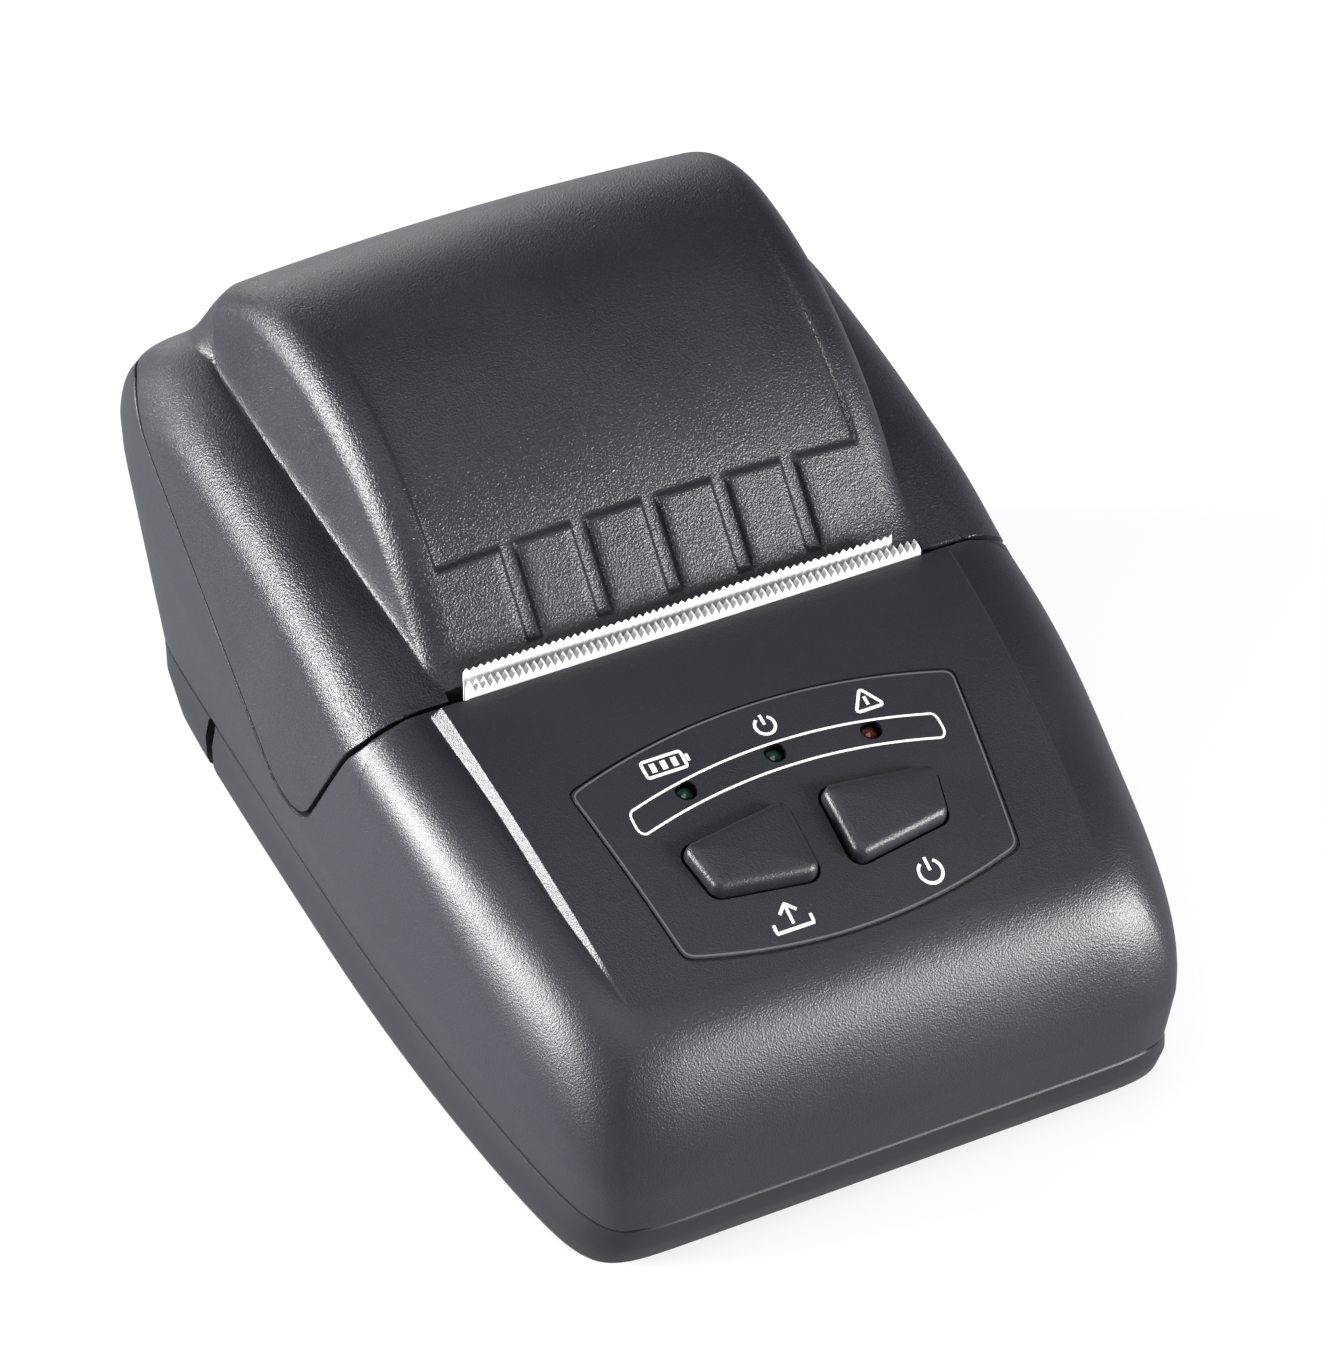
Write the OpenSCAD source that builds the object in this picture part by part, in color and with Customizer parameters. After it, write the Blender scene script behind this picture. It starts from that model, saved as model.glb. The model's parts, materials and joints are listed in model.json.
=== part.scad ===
// Portable receipt printer for 58 mm paper: clamshell body, domed paper lid, geared roll feed.
// Millimetres, +Z up, front at -Y, origin on the table under the middle of the body.

/* [Body] */
// length of the body from nose to rear wall
body_l = 138; // [128:1:156]
// width of the body at its widest
body_w = 89.6; // [88:0.4:100]
// shell wall
wall = 2.2; // [1.6:0.1:2.8]
// height of the line between tray and upper shell
part_z = 9.5; // [8:0.5:12]
// open line left between two shells
seam_gap = 0.4; // [0.3:0.05:0.8]
// how much each side draws in toward the nose
front_taper = 5.4; // [2:0.2:7]
// how much each side draws in toward the rear
rear_taper = 0.6; // [0:0.2:3]
// squareness of the two front corners in plan
front_corner = 17; // [12:1:22]
// squareness of the two rear corners in plan
rear_corner = 18; // [10:1:22]
// how far the rear wall draws in at the parting line
rear_lean = 8.5; // [4:0.5:10]

/* [Front panel] */
// where the paper slot lies along the body
slot_y = -13; // [-16:0.5:-10]
// height of the panel at the slot
slot_z = 48.4; // [46:0.2:52]
// fall of the panel per millimetre at the slot
panel_fall = 0.13; // [0.08:0.01:0.18]
// how fast the fall grows toward the nose
panel_bend = 0.0033; // [0.002:0.0001:0.004]
// width of the raised panel at the slot
panel_w = 68; // [62:0.5:72]
// how much each panel edge draws in toward the nose
panel_taper = 3.8; // [1:0.2:6]
// how far the panel stands above the shoulders
panel_rise = 0.9; // [0.4:0.1:1.4]
// width of the bevel beside the panel
bevel_w = 2.3; // [1.4:0.1:3]
// radius of the shoulder edges
edge_r = 5; // [3:0.5:7]
// reach of the rounded nose along the body
nose_h = 9; // [7:0.5:12]
// height of the rounded nose
nose_v = 14; // [10:0.5:16]
// reach of the rounded rear edge along the body
tail_h = 16; // [12:0.5:18]
// height of the rounded rear edge
tail_v = 16; // [12:0.5:18]

/* [Lid] */
// distance of the hump's crest from the rear end
hump_back = 34; // [32:0.5:37]
// height of the hump's crest
hump_z = 73.2; // [72.6:0.2:78]
// how far behind the slot the hump's front curve would end
hump_toe = 3; // [1:0.5:5]
// reach of the hump from crest to rear
hump_rear = 31; // [29:0.5:32]
// how much narrower than the paper the hump's flat is at the slot
hump_less = 0.5; // [0:0.1:2]
// widening of the hump's half per millimetre toward the rear
hump_flare = 0.03; // [0:0.005:0.04]
// radius of the hump's upper edges
hump_edge = 4.2; // [2.5:0.1:5]
// lean of the hump's sides per millimetre of height
hump_lean = 0.12; // [0.06:0.01:0.16]
// fall of the hump's roof from the middle to its edges
hump_crown = 1.2; // [0.4:0.1:1.6]
// size of the fillet at the hump's foot
hump_fillet = 3; // [1:0.2:4]
// rise of the shoulders per millimetre behind the slot
shoulder_rise = 0.26; // [0.2:0.01:0.3]
// how fast that rise fades toward the rear
shoulder_bend = 0.0021; // [0.0016:0.0001:0.0026]
// lowest corner of the side lobe along the body
lobe_y = 8.6; // [6:0.2:11]
// lowest corner of the side lobe, before it is rounded
lobe_z = 14.4; // [13:0.2:17]
// radius of the lobe's tip
lobe_r = 9.5; // [7:0.5:11]
// height of the seam at the rear
seam_z = 49; // [48:0.2:50]
// depth of the shallow field on the hump
field_deep = 0.7; // [0.4:0.1:1]
// how much narrower than the paper the shallow field is
field_less = 0.9; // [0.5:0.1:5]
// number of grip pads under the field
pads = 6; // [4:1:8]
// width of the groove between two pads
groove_w = 1.8; // [1.2:0.1:2.4]

/* [Controls] */
// middle of the keys along the body
key_y = -46; // [-48:0.5:-44]
// how far the keys stand proud
key_proud = 2.2; // [1.4:0.1:3]
// travel of the keys
key_travel = 0.9; // [0.5:0.1:1]
// distance from the middle line to the key's inner edge
key_in_x = 2.2; // [1.6:0.1:3]
// distance from the middle line to the key's outer edge
key_out_x = 16.9; // [15:0.1:18]
// length of the key's inner edge
key_in_l = 10.9; // [9:0.1:12]
// length of the key's outer edge
key_out_l = 7.1; // [6:0.1:9]
// radius of a key's corners
key_r = 1.5; // [1:0.1:2]
// gap round a key
key_gap = 0.4; // [0.3:0.05:0.6]
// distance of the outer lamps from the middle line
lamp_x = 12.3; // [10:0.1:14]
// radius of a lamp lens
lamp_r = 1.25; // [1:0.05:1.6]
// width of the control overlay at its top
label_w = 51; // [46:0.5:54]
// width of the control overlay at its bottom
label_low_w = 44; // [40:0.5:48]
// thickness of the overlay film
label_t = 0.4; // [0.3:0.05:0.6]

/* [Paper] */
// room in the body's width that the paper leaves to plates, gears and walls
side_room = 32.1; // [31.5:0.1:36]
// radius of the full roll
roll_r = 23.6; // [18:0.2:23.8]
// radius of the card core
core_r = 8; // [6:0.5:10]
// wall of the card core
core_t = 1.6; // [1:0.1:2]
// how much longer than the paper's width the tear bar is
tear_more = 3.5; // [2:0.1:4]
// distance between two teeth of the tear bar
tooth_p = 0.95; // [0.8:0.05:1.4]
// how far the paper tongue stands above the slot
tongue = 2.8; // [2:0.2:8]

/* [Drive] */
// radius of the platen rubber
platen_r = 4.8; // [4:0.1:5]
// radius of the platen shaft
shaft_r = 1.5; // [1.2:0.1:1.8]
// running clearance of a shaft in its bore
run_gap = 0.05; // [0.02:0.01:0.1]
// module of the gears
gear_m = 0.5; // [0.4:0.05:0.55]
// teeth of the platen gear
platen_teeth = 12; // [12:1:13]
// teeth of the idler gear, in twelves so that both meshes line up
idler_teeth = 36; // [36:12:36]
// teeth of the motor pinion
pinion_teeth = 12; // [12:1:16]
// width of the gears
gear_w = 3; // [2:0.2:3.2]
// radius of the motor can
motor_r = 10; // [8:0.2:10]

/* [Hidden] */
$fn = 48;
eps = 0.02;
half_l = body_l / 2;
half_w = body_w / 2;
paper_w = body_w - side_room;
tear_l = paper_w + tear_more;
hump_w = paper_w - hump_less;
field_w = paper_w - field_less;
hump_y = half_l - hump_back;
hump_front = hump_y - slot_y - hump_toe;
roof = 1.25;
side_lean = 0.4;
under = 0.7;
bend_n = 4;
end_rows = 6;
side_rows = 18;
tray_z = 0.8;
tray_in = 0.1;
lip_in = under + wall + 0.3;
lip_t = 1.2;
lip_h = 1.6;
floor_z = tray_z + wall;
roof_t = wall * roof;

hump_base = 35;
hump_h = hump_z - hump_base;
line_t = 0.8;
rear_t = 0.94;

slot_front = slot_y - 1;
slot_back = slot_y + 2.6;
slot_half = tear_l / 2 + 1.5;
lid_y = slot_y + 1.1;

key_tilt = atan(panel_fall + 2 * panel_bend * (slot_y - key_y));
key_len_out = key_out_l / 2;
key_len_in = key_in_l / 2;
key_low_x = key_out_x - 1.5;
key_flange = 1;
flange_z = -roof_t - 0.4;
board_z = -9.5;
switch_h = 3.5;
lamp_y = slot_y - 22.6;
lamp_mid_y = lamp_y + 1.05;
label_top = slot_y - 14.1;
label_low = slot_y - 45.1;
label_side_top = slot_y - 18.2;
label_side_low = slot_y - 42;
label_r = 2.4;

platen_y = slot_y + 1.75 + platen_r;
platen_z = slot_z - 6.9;
rubber_half = paper_w / 2;
arm_in = rubber_half + 0.5;
arm_t = 1.6;
rib_in = arm_in + arm_t + 0.05;
plate_in = arm_in + 4.8;
plate_t = 1.6;
plate_out = plate_in + plate_t;
gear_x = plate_out + 0.8;
frame_foot_x = plate_in - 2.6;
bush_r = shaft_r + 1;

mesh_a = gear_m * (platen_teeth + idler_teeth) / 2;
mesh_b = gear_m * (pinion_teeth + idler_teeth) / 2;
mesh_dir = 80;
motor_dir = 230;
idler_y = platen_y - mesh_a * cos(mesh_dir);
idler_z = platen_z - mesh_a * sin(mesh_dir);
motor_y = idler_y + mesh_b * cos(motor_dir);
motor_z = idler_z + mesh_b * sin(motor_dir);
axle_r = 1.5;
motor_l = 17;
motor_shaft_r = 1;

hinge_y = tail_y(seam_z);
hinge_z = seam_z;
hinge_r = 2.4;
pin_r = 1.2;
barrel_half = paper_w / 2 - 3.25;
ear_t = 3;
ear_x = barrel_half + 0.4;

bin_gap = 0.4;
bin_r = roll_r + bin_gap;
bin_t = 1.6;
bin_half = paper_w / 2 + 0.6;
bin_lift = 16;
roll_gap = 0.74;
hinge_web = 7.5;
roll_y = hinge_y - hinge_web - roll_gap - roll_r;
roll_z = floor_z + bin_lift + bin_t + bin_r;

screw_r = 1.4;
boss_r = 3.6;
boss_in = 8.8;
front_boss = [half_at(slot_y - 35) - boss_in, slot_y - 35];
rear_boss = [half_at(36) - boss_in, 36];
front_foot = [half_w - 18.8, -half_l + 14];
rear_foot = [half_w - 18.8, half_l - 34];
foot_r = 5;
foot_h = 1.6;

board_half = paper_w / 2 - 0.25;
board_t = 1.6;
board_top = floor_z + 3 + board_t;
pack_half = paper_w / 2 - 5.75;
jack_x = -16;
port_x = 14;
jack_z = 17;

charcoal = [0.24, 0.24, 0.27];
steel = [0.72, 0.73, 0.75];

// Outline of the body in plan and its height over the table.
function clamp01(t) = max(0, min(1, t));
function ease(t) = let (c = clamp01(t)) c * c * (3 - 2 * c);
function half_at(y) = half_w - (y < 0 ? front_taper : rear_taper) * pow(y / half_l, 2);
function corner_n(b) = b < 0 ? front_corner : rear_corner;
function unit_x(b) = pow(max(0, 1 - pow(abs(b), corner_n(b))), 1 / corner_n(b));
function side_x(y) = unit_x(y / half_l) * half_at(y);
function ring(r, dx, dy) = [r[0] * (half_at(r[1] * half_l) - dx), r[1] * (half_l - dy)];
function toward_nose(y) = ease((slot_y - y) / (half_l + slot_y));
function toward_tail(y) = ease((y - half_l + 32) / 32);
function edge_x(y) = edge_r + (nose_h - edge_r) * toward_nose(y);
function edge_y(y) = edge_x(y) + (tail_h - edge_r) * toward_tail(y);
function edge_v(y) = edge_r + (nose_v - edge_r) * toward_nose(y) + (tail_v - edge_r) * toward_tail(y);
function crease_z(y) = part_z + 7 + 0.0044 * pow(max(0, y), 2);
function lean_y(b) = rear_lean * pow(max(0, b), 2);
function rear_y(z) = half_l - rear_lean * clamp01((crease_z(half_l) - z) / (crease_z(half_l) - part_z));

function panel_z(y) = let (u = slot_y - y) slot_z - panel_fall * u - panel_bend * u * u;
function panel_half(y) = panel_w / 2 - panel_taper * clamp01((slot_y - y) / 50);
function bevel_at(y) = bevel_w * (1 - 0.65 * clamp01((slot_y - y) / 50));
function rise_at(y) = panel_rise * (1 - ease((slot_y - y) / 52));
function shoulder_z(y) = let (v = y - slot_y) v < 0 ? panel_z(y) - rise_at(y)
  : slot_z - panel_rise + shoulder_rise * v - shoulder_bend * v * v;

function tail_y(z) = half_l - side_lean
  - tail_h * (1 - sqrt(1 - pow(clamp01((z - shoulder_z(half_l) + tail_v) / tail_v), 2)));

// The hump: half ellipses before and behind the crest, each run out along its tangent.
function arc_z(t, t0) = t < t0 ? hump_base + hump_h * sqrt(1 - t * t)
  : hump_base + hump_h * (sqrt(1 - t0 * t0) - (t - t0) * t0 / sqrt(1 - t0 * t0));
function hump_at(y) = y < hump_y ? arc_z((hump_y - y) / hump_front, line_t)
  : arc_z((y - hump_y) / hump_rear, rear_t);
function flat_half(y) = hump_w / 2 + hump_flare * (y - slot_y);
function edge_drop(u) = let (t = atan(hump_lean)) u <= 0 ? 0
  : u < hump_edge * cos(t) ? hump_edge - sqrt(hump_edge * hump_edge - u * u)
  : hump_edge * (1 - sin(t)) + (u - hump_edge * cos(t)) / hump_lean;
function foot_half(y) = flat_half(y) + hump_edge
  + hump_lean * max(0, hump_at(y) - shoulder_z(y) - hump_edge);
function blend(a, b, k) = max(a, b) + pow(max(k - abs(a - b), 0), 2) / (4 * k);

function panel_top(x, y) = y > slot_y ? shoulder_z(y)
  : panel_z(y) - rise_at(y) * clamp01((abs(x) - panel_half(y)) / bevel_at(y));
function lid_top(x, y, o) = let (back = o * 0.7 * clamp01((y - hump_y) / 10), e = flat_half(y),
    h = hump_at(y + back) - hump_crown * pow(x / e, 2) - edge_drop(abs(x) + o * 0.8 - e))
  blend(shoulder_z(y), h, hump_fillet);
function top_z(lid, x, y, o) = (lid ? lid_top(x, y, o) : panel_top(x, y)) - o * roof;

// One row of the skin: across the top, round the shoulder edge, down the side.
function lid_columns(a, f) = concat([0, a / 2, a], [for (k = [0.45, 0.75, 0.92, 1]) a + hump_edge * k],
  [f + 0.4, f + 1.2, f + 2.4]);
function panel_columns(a, b) = [0, a / 2, a, a + b];
function columns(lid, p, o) = let (y = p[1], g = 0.8 * o,
    w = lid ? lid_columns(flat_half(y) - g, foot_half(y) - g) : panel_columns(panel_half(y), bevel_at(y)))
  [for (k = [0 : len(w) - 1]) k == 0 ? 0 : min(w[k], p[0] * (0.9 + 0.09 * k / len(w)))];
function skin_row(r, lid, o, zb) =
  let (y0 = r[1] * half_l, rx = max(edge_x(y0) - o * 0.6, 1), ry = max(edge_y(y0) - o * 0.6, 1),
    rv = max(edge_v(y0) - o * 0.6, 1), d = side_lean * (1 - toward_nose(y0)) + o, p = ring(r, d + rx, d + ry),
    c = ring(r, o, o), b = ring(r, under + o, under + o),
    bend = [for (i = [0 : bend_n]) let (f = 90 - 90 * i / bend_n, g = 1 - cos(f))
      let (q = ring(r, d + rx * g, d + ry * g))
      [q[0], q[1], top_z(lid, q[0], q[1], o) - rv * (1 - sin(f))]])
  concat([for (x = columns(lid, p, o)) [x, p[1], top_z(lid, x, p[1], o)]], bend,
    [[c[0], c[1], min(crease_z(y0), bend[bend_n][2] - 1)], [b[0], b[1] - lean_y(r[1]), zb]]);

turn_r = pow(0.5, 1 / rear_corner);
turn_f = pow(0.5, 1 / front_corner);
function end_a(turn, i) = turn * (1 - pow(1 - (i + 0.1) / end_rows, 1.7));
rows = concat(
  [for (i = [0 : end_rows - 1]) let (a = end_a(turn_r, i)) [a, unit_end(a, rear_corner)]],
  [for (i = [0 : side_rows]) let (t = i / side_rows, s = (t + (1 - cos(180 * t)) / 2) / 2,
    b = turn_r - (turn_r + turn_f) * s) [unit_x(b), b]],
  [for (i = [end_rows - 1 : -1 : 0]) let (a = end_a(turn_f, i)) [a, -unit_end(a, front_corner)]]);
function unit_end(a, n) = pow(1 - pow(a, n), 1 / n);
last = len(rows) - 1;

function two(a, b, c, d) = [[a, b, c], [a, c, d]];
function flat(list) = [for (l = list) for (v = l) v];

// The closed skin of the body: rows from the rear to the nose, columns from left to right.
module skin(lid, o, zb) {
  halves = [for (r = rows) skin_row(r, lid, o, zb)];
  h = len(halves[0]);
  m = 2 * h - 1;
  pts = flat([for (s = halves) concat([for (i = [h - 1 : -1 : 1]) [-s[i][0], s[i][1], s[i][2]]], s)]);
  n = last * m;
  top = [for (j = [0 : last - 1]) for (c = [0 : m - 2]) let (a = j * m + c) two(a, a + 1, a + m + 1, a + m)];
  low = [for (j = [0 : last - 1]) let (a = j * m, b = a + m - 1) two(a, a + m, b + m, b)];
  back = [for (c = [0 : h - 3]) two(m - 1 - c, m - 2 - c, c + 1, c)];
  front = [for (c = [0 : h - 3]) two(n + c, n + c + 1, n + m - 2 - c, n + m - 1 - c)];
  ends = [[m - h + 1, h - 1, h - 2], [n + h - 2, n + h - 1, n + m - h + 1]];
  polyhedron(pts, concat(flat(top), flat(low), flat(back), flat(front), ends), convexity = 6);
}

// A closed solid from level rings, each [inset, height, draw-in at nose, draw-in at rear].
module ringed(levels) {
  p = 2 * (last + 1);
  pts = flat([for (v = levels) let (q = [for (r = rows) let (s = ring(r, v[0], v[0]))
    [s[0], s[1] + pow(r[1], 2) * (r[1] < 0 ? v[2] : -v[3]), v[1]]])
    concat(q, [for (i = [last : -1 : 0]) [-q[i][0], q[i][1], q[i][2]]])]);
  n = (len(levels) - 1) * p;
  side = [for (v = [0 : len(levels) - 2]) for (i = [0 : p - 1]) let (a = v * p + i, b = v * p + (i + 1) % p)
    two(a, a + p, b + p, b)];
  top = [for (j = [0 : last - 1]) two(p - 1 - j, j, j + 1, p - 2 - j)];
  low = [for (j = [0 : last - 1]) two(n + j, n + p - 1 - j, n + p - 2 - j, n + j + 1)];
  polyhedron(pts, concat(flat(side), flat(top), flat(low)), convexity = 6);
}

module mirrored() {
  children();
  mirror([1, 0, 0]) children();
}

// Draws a flat shape given in (y, z) and carries it from x = from to x = to.
module along_x(from, to) {
  translate([from, 0, 0]) rotate([90, 0, 90]) linear_extrude(to - from) children();
}

module block(lo, hi) {
  translate(lo) cube(hi - lo);
}

// The lid's part of the body seen from the side, grown by g.
module lid_side(g) {
  far = half_l + 30;
  offset(delta = g) offset(r = lobe_r) offset(delta = -lobe_r)
    polygon([[lid_y, 120], [lid_y, slot_z - 1.5], [lobe_y, lobe_z], [half_l - 11, seam_z - 1.4],
      [half_l - 8.5, seam_z], [far, seam_z], [far, 120]]);
}

module slot_cut() {
  block([-slot_half, slot_front, platen_z + 2], [slot_half, slot_back, slot_z + 20]);
}

// Room round the hinge, from under the barrel up by h.
module hinge_room(g, h) {
  w = ear_x + ear_t + 0.6;
  block([-w, hinge_y - g - 1.4, hinge_z - g], [w, half_l + 9, hinge_z - g + h]);
}

// Places its children on the control plane under the keys.
module at_controls() {
  translate([0, key_y, panel_z(key_y)]) rotate([key_tilt, 0, 0]) children();
}

function plane_v(y) = (y - key_y) / cos(key_tilt);
function plane_z(y) = (panel_z(y) - panel_z(key_y) - tan(key_tilt) * (y - key_y)) * cos(key_tilt);

key_corners = [[key_out_x, key_len_out], [key_in_x, key_len_in], [key_in_x, -key_len_in],
  [key_low_x, -key_len_out]];
key_mid = [(key_out_x + key_in_x) / 2, 0];
function key_spot(i) = let (c = key_corners[i], s = [sign(key_mid[0] - c[0]), -sign(c[1])]) c + key_r * s;

module key_outline(g) {
  hull() for (i = [0 : 3]) translate(key_spot(i)) circle(key_r + g, $fn = 24);
}

module label_outline(g) {
  a = label_w / 2;
  b = label_low_w / 2;
  offset(r = g + label_r, $fn = 24) offset(delta = -label_r) polygon(concat(
    [for (t = [-1 : 0.1 : 1.01]) [a * t, label_top - (label_top - label_side_top) * t * t]],
    [for (t = [1 : -0.1 : -1.01]) [b * t, label_low + (label_side_low - label_low) * t * t]]));
}

// A sheet that follows the panel between two depths.
module panel_sheet(hi, lo) {
  n = 12;
  ys = [for (i = [0 : n]) label_low - 3 + (label_top - label_low + 6) * i / n];
  along_x(-half_w, half_w) polygon(concat([for (y = ys) [y, panel_z(y) + hi]],
    [for (i = [n : -1 : 0]) [ys[i], panel_z(ys[i]) + lo]]));
}

module lamp_spots(d) {
  at_controls() for (x = [-lamp_x, 0, lamp_x]) let (y = x == 0 ? lamp_mid_y : lamp_y)
    translate([x, plane_v(y), -d]) children();
}

// Screw columns at the four corners.
module at_bosses(z) {
  mirrored() for (p = [front_boss, rear_boss]) translate([p[0], p[1], z]) children();
}

module at_frame_feet(z) {
  mirrored() for (y = [motor_y - 4, platen_y + 4]) translate([frame_foot_x, y, z]) children();
}

module at_feet(z) {
  mirrored() for (p = [front_foot, rear_foot]) translate([p[0], p[1], z]) children();
}

module base_tray() color(charcoal) {
  cheek_y = [half_l - 29.4, half_l - 24, half_l - 19];
  inner = tray_in + wall + 0.6;
  difference() {
    union() {
      difference() {
        ringed([[lip_in, part_z + lip_h, 0, rear_lean], [lip_in, part_z - seam_gap, 0, rear_lean],
          [tray_in + 0.6, part_z - seam_gap, 0.2, rear_lean], [tray_in, 6, 1.4, rear_lean + 3],
          [tray_in, 2.6, 2.8, rear_lean + 7.5], [tray_in + 0.3, 1.4, 3.6, rear_lean + 10.5],
          [tray_in + 1, tray_z, 4.4, rear_lean + 13.5]]);
        ringed([[lip_in + lip_t, part_z + 5, 0, rear_lean], [lip_in + lip_t, 8, 0.8, rear_lean + 1.4],
          [inner, 6, 1.4, rear_lean + 3], [inner + 0.4, floor_z, 3.2, rear_lean + 8.5]]);
      }
      mirrored() hull() for (y = cheek_y) translate([side_x(y) - 1.6, y, 0]) {
        translate([0, 0, 3.6]) sphere(2.2, $fn = 16);
        translate([0, 0, part_z - 2.2]) sphere(2.2, $fn = 16);
      }
      at_bosses(tray_z + 0.3) {
        cylinder(r = boss_r, h = part_z - seam_gap - tray_z - 0.3, $fn = 20);
        cylinder(r1 = boss_r + 1, r2 = boss_r, h = wall + 2, $fn = 20);
      }
      mirrored() for (y = [front_boss[1] + 16, front_boss[1] + 32, 4, 20]) hull() {
        block([half_at(y) - 6.5, y - 0.6, floor_z - 0.2], [half_at(y) - 3.4, y + 0.6, floor_z]);
        block([half_at(y) - 4, y - 0.6, part_z - 2.5], [half_at(y) - 3.4, y + 0.6, part_z - 1.5]);
      }
      for (y = [-half_l + 22, slot_y + 4]) for (x = [-board_half + 4, board_half - 4])
        translate([x, y, floor_z - 0.2]) cylinder(r = 2.4, h = board_top - board_t - floor_z + 0.2, $fn = 16);
      at_frame_feet(floor_z - 0.2) cylinder(r = 2.6, h = 1.2, $fn = 16);
    }
    at_bosses(tray_z - 1) cylinder(r = screw_r + 0.15, h = 30, $fn = 12);
    at_bosses(tray_z - 1) cylinder(r = 3, h = 3.2, $fn = 16);
    at_feet(tray_z - 1) cylinder(r = foot_r + 0.1, h = 1 + foot_h - tray_z + 0.02, $fn = 20);
    at_frame_feet(floor_z - 1.2) cylinder(r = screw_r - 0.2, h = 6, $fn = 16);
  }
}

// The upper shell: sloping panel, rounded nose, side walls up to the lid's seam, rear wall.
module front_housing() color(charcoal) {
  post_z = board_z + 1.2;
  difference() {
    union() {
      difference() {
        skin(false, 0, part_z);
        skin(false, wall, part_z - 2);
      }
      intersection() {
        skin(false, wall / 2, part_z);
        union() {
          at_bosses(part_z) cylinder(r = boss_r, h = 16, $fn = 20);
          at_bosses(part_z + lip_h + 0.4) hull() {
            cylinder(r = boss_r - 1, h = 13, $fn = 12);
            translate([boss_in, 0, 0]) cylinder(r = 1.2, h = 10, $fn = 8);
          }
          at_controls() mirrored() for (v = [-8.4, 4.5]) translate([key_out_x + 4.3, v, post_z])
            cylinder(r = 2, h = 20, $fn = 16);
          mirrored() hull() {
            block([gear_x + gear_w + 1, slot_y - 5, 20], [half_w, slot_y - 3.4, 22]);
            block([gear_x + gear_w + 0.8, slot_y - 5, slot_z - 4], [half_w, slot_y - 3.4, slot_z]);
          }
        }
      }
    }
    along_x(-half_w - 9, half_w + 9) lid_side(seam_gap);
    slot_cut();
    intersection() {
      linear_extrude(90) label_outline(0.2);
      panel_sheet(2, -label_t);
    }
    at_controls() mirrored() translate([0, 0, -9]) linear_extrude(20) key_outline(key_gap);
    lamp_spots(8) cylinder(r = lamp_r + 0.15, h = 12, $fn = 20);
    hinge_room(hinge_r + 0.5, 40);
    translate([jack_x, half_l, jack_z]) rotate([90, 0, 0]) cylinder(r = 3.6, h = 14, $fn = 24);
    translate([port_x, half_l - 14, jack_z]) rotate([-90, 0, 0]) linear_extrude(14) hull() mirrored()
      translate([3.4, 0]) circle(1.8, $fn = 16);
    at_bosses(part_z - 1) cylinder(r = screw_r - 0.1, h = 10, $fn = 24);
    at_controls() mirrored() for (v = [-8.4, 4.5]) translate([key_out_x + 4.3, v, post_z - 1])
      cylinder(r = 0.9, h = 5, $fn = 24);
  }
}

// Grooves and field on the hump: flat cuts that follow its curve at a set depth.
module hump_strip(from, to, y0, y1, fade) {
  ys = [for (i = [0 : 14]) y0 + (y1 - y0) * i / 14];
  along_x(from, to) polygon(concat(
    [for (i = [0 : 14]) [ys[i] - 1.5, hump_at(ys[i]) + 2.5]],
    [for (i = [14 : -1 : 0]) let (deep = field_deep * (1 - fade * ease(i / 14)) - 0.05 * fade * ease(i / 14))
      [ys[i] + 0.7 * deep, hump_at(ys[i]) - 0.8 * deep]]));
}

module lid_shell() color(charcoal * 1.05) {
  pitch = field_w / pads;
  pad_y0 = hump_y - hump_front * line_t - 7.4;
  pad_y1 = hump_y - hump_front * line_t + 0.4;
  difference() {
    union() {
      intersection() {
        difference() {
          skin(true, 0, part_z);
          skin(true, wall, part_z - 2);
        }
        along_x(-half_w - 9, half_w + 9) lid_side(0);
      }
      intersection() {
        skin(true, wall / 2, part_z);
        along_x(-half_w - 9, half_w + 9) lid_side(0);
        union() {
          mirrored() hull() {
            block([rib_in, platen_y - 2, platen_z + bush_r + 0.8], [rib_in + 1.6, platen_y + 4, 90]);
            block([rib_in, platen_y - 2, platen_z + bush_r + 4], [rib_in + 1.6, platen_y + 12, 90]);
          }
          for (k = [-3, -1, 1, 3]) let (x = k * barrel_half / 4.25) hull() {
            block([x - 0.7, hinge_y - hinge_web + 0.3, hinge_z + 2], [x + 0.7, hinge_y - 3, 90]);
            block([x - 0.7, hinge_y - hinge_web + 0.9, hinge_z + 0.85], [x + 0.7, hinge_y - 3.2, 90]);
          }
          mirrored() hull() {
            block([bin_half + 4, 22, shoulder_z(22) - 6], [bin_half + 5.4, 23.4, 90]);
            block([bin_half + 4, 50, shoulder_z(50) - 6], [bin_half + 5.4, 51.4, 90]);
          }
        }
      }
    }
    slot_cut();
    hinge_room(hinge_r + 0.5, 2 * hinge_r + 1);
    hump_strip(-field_w / 2, field_w / 2, pad_y1, hump_y - 4, 1);
    for (i = [1 : pads - 1]) hump_strip(i * pitch - (field_w + groove_w) / 2,
      i * pitch - (field_w - groove_w) / 2, pad_y0, pad_y1 + 0.6, 0);
  }
}

module control_overlay() color([0.2, 0.2, 0.22]) {
  difference() {
    intersection() {
      linear_extrude(90) label_outline(0);
      panel_sheet(0, 0.1 - label_t);
    }
    at_controls() mirrored() translate([0, 0, -9]) linear_extrude(20) key_outline(key_gap);
    lamp_spots(8) cylinder(r = lamp_r + 0.15, h = 12, $fn = 20);
  }
}

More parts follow.
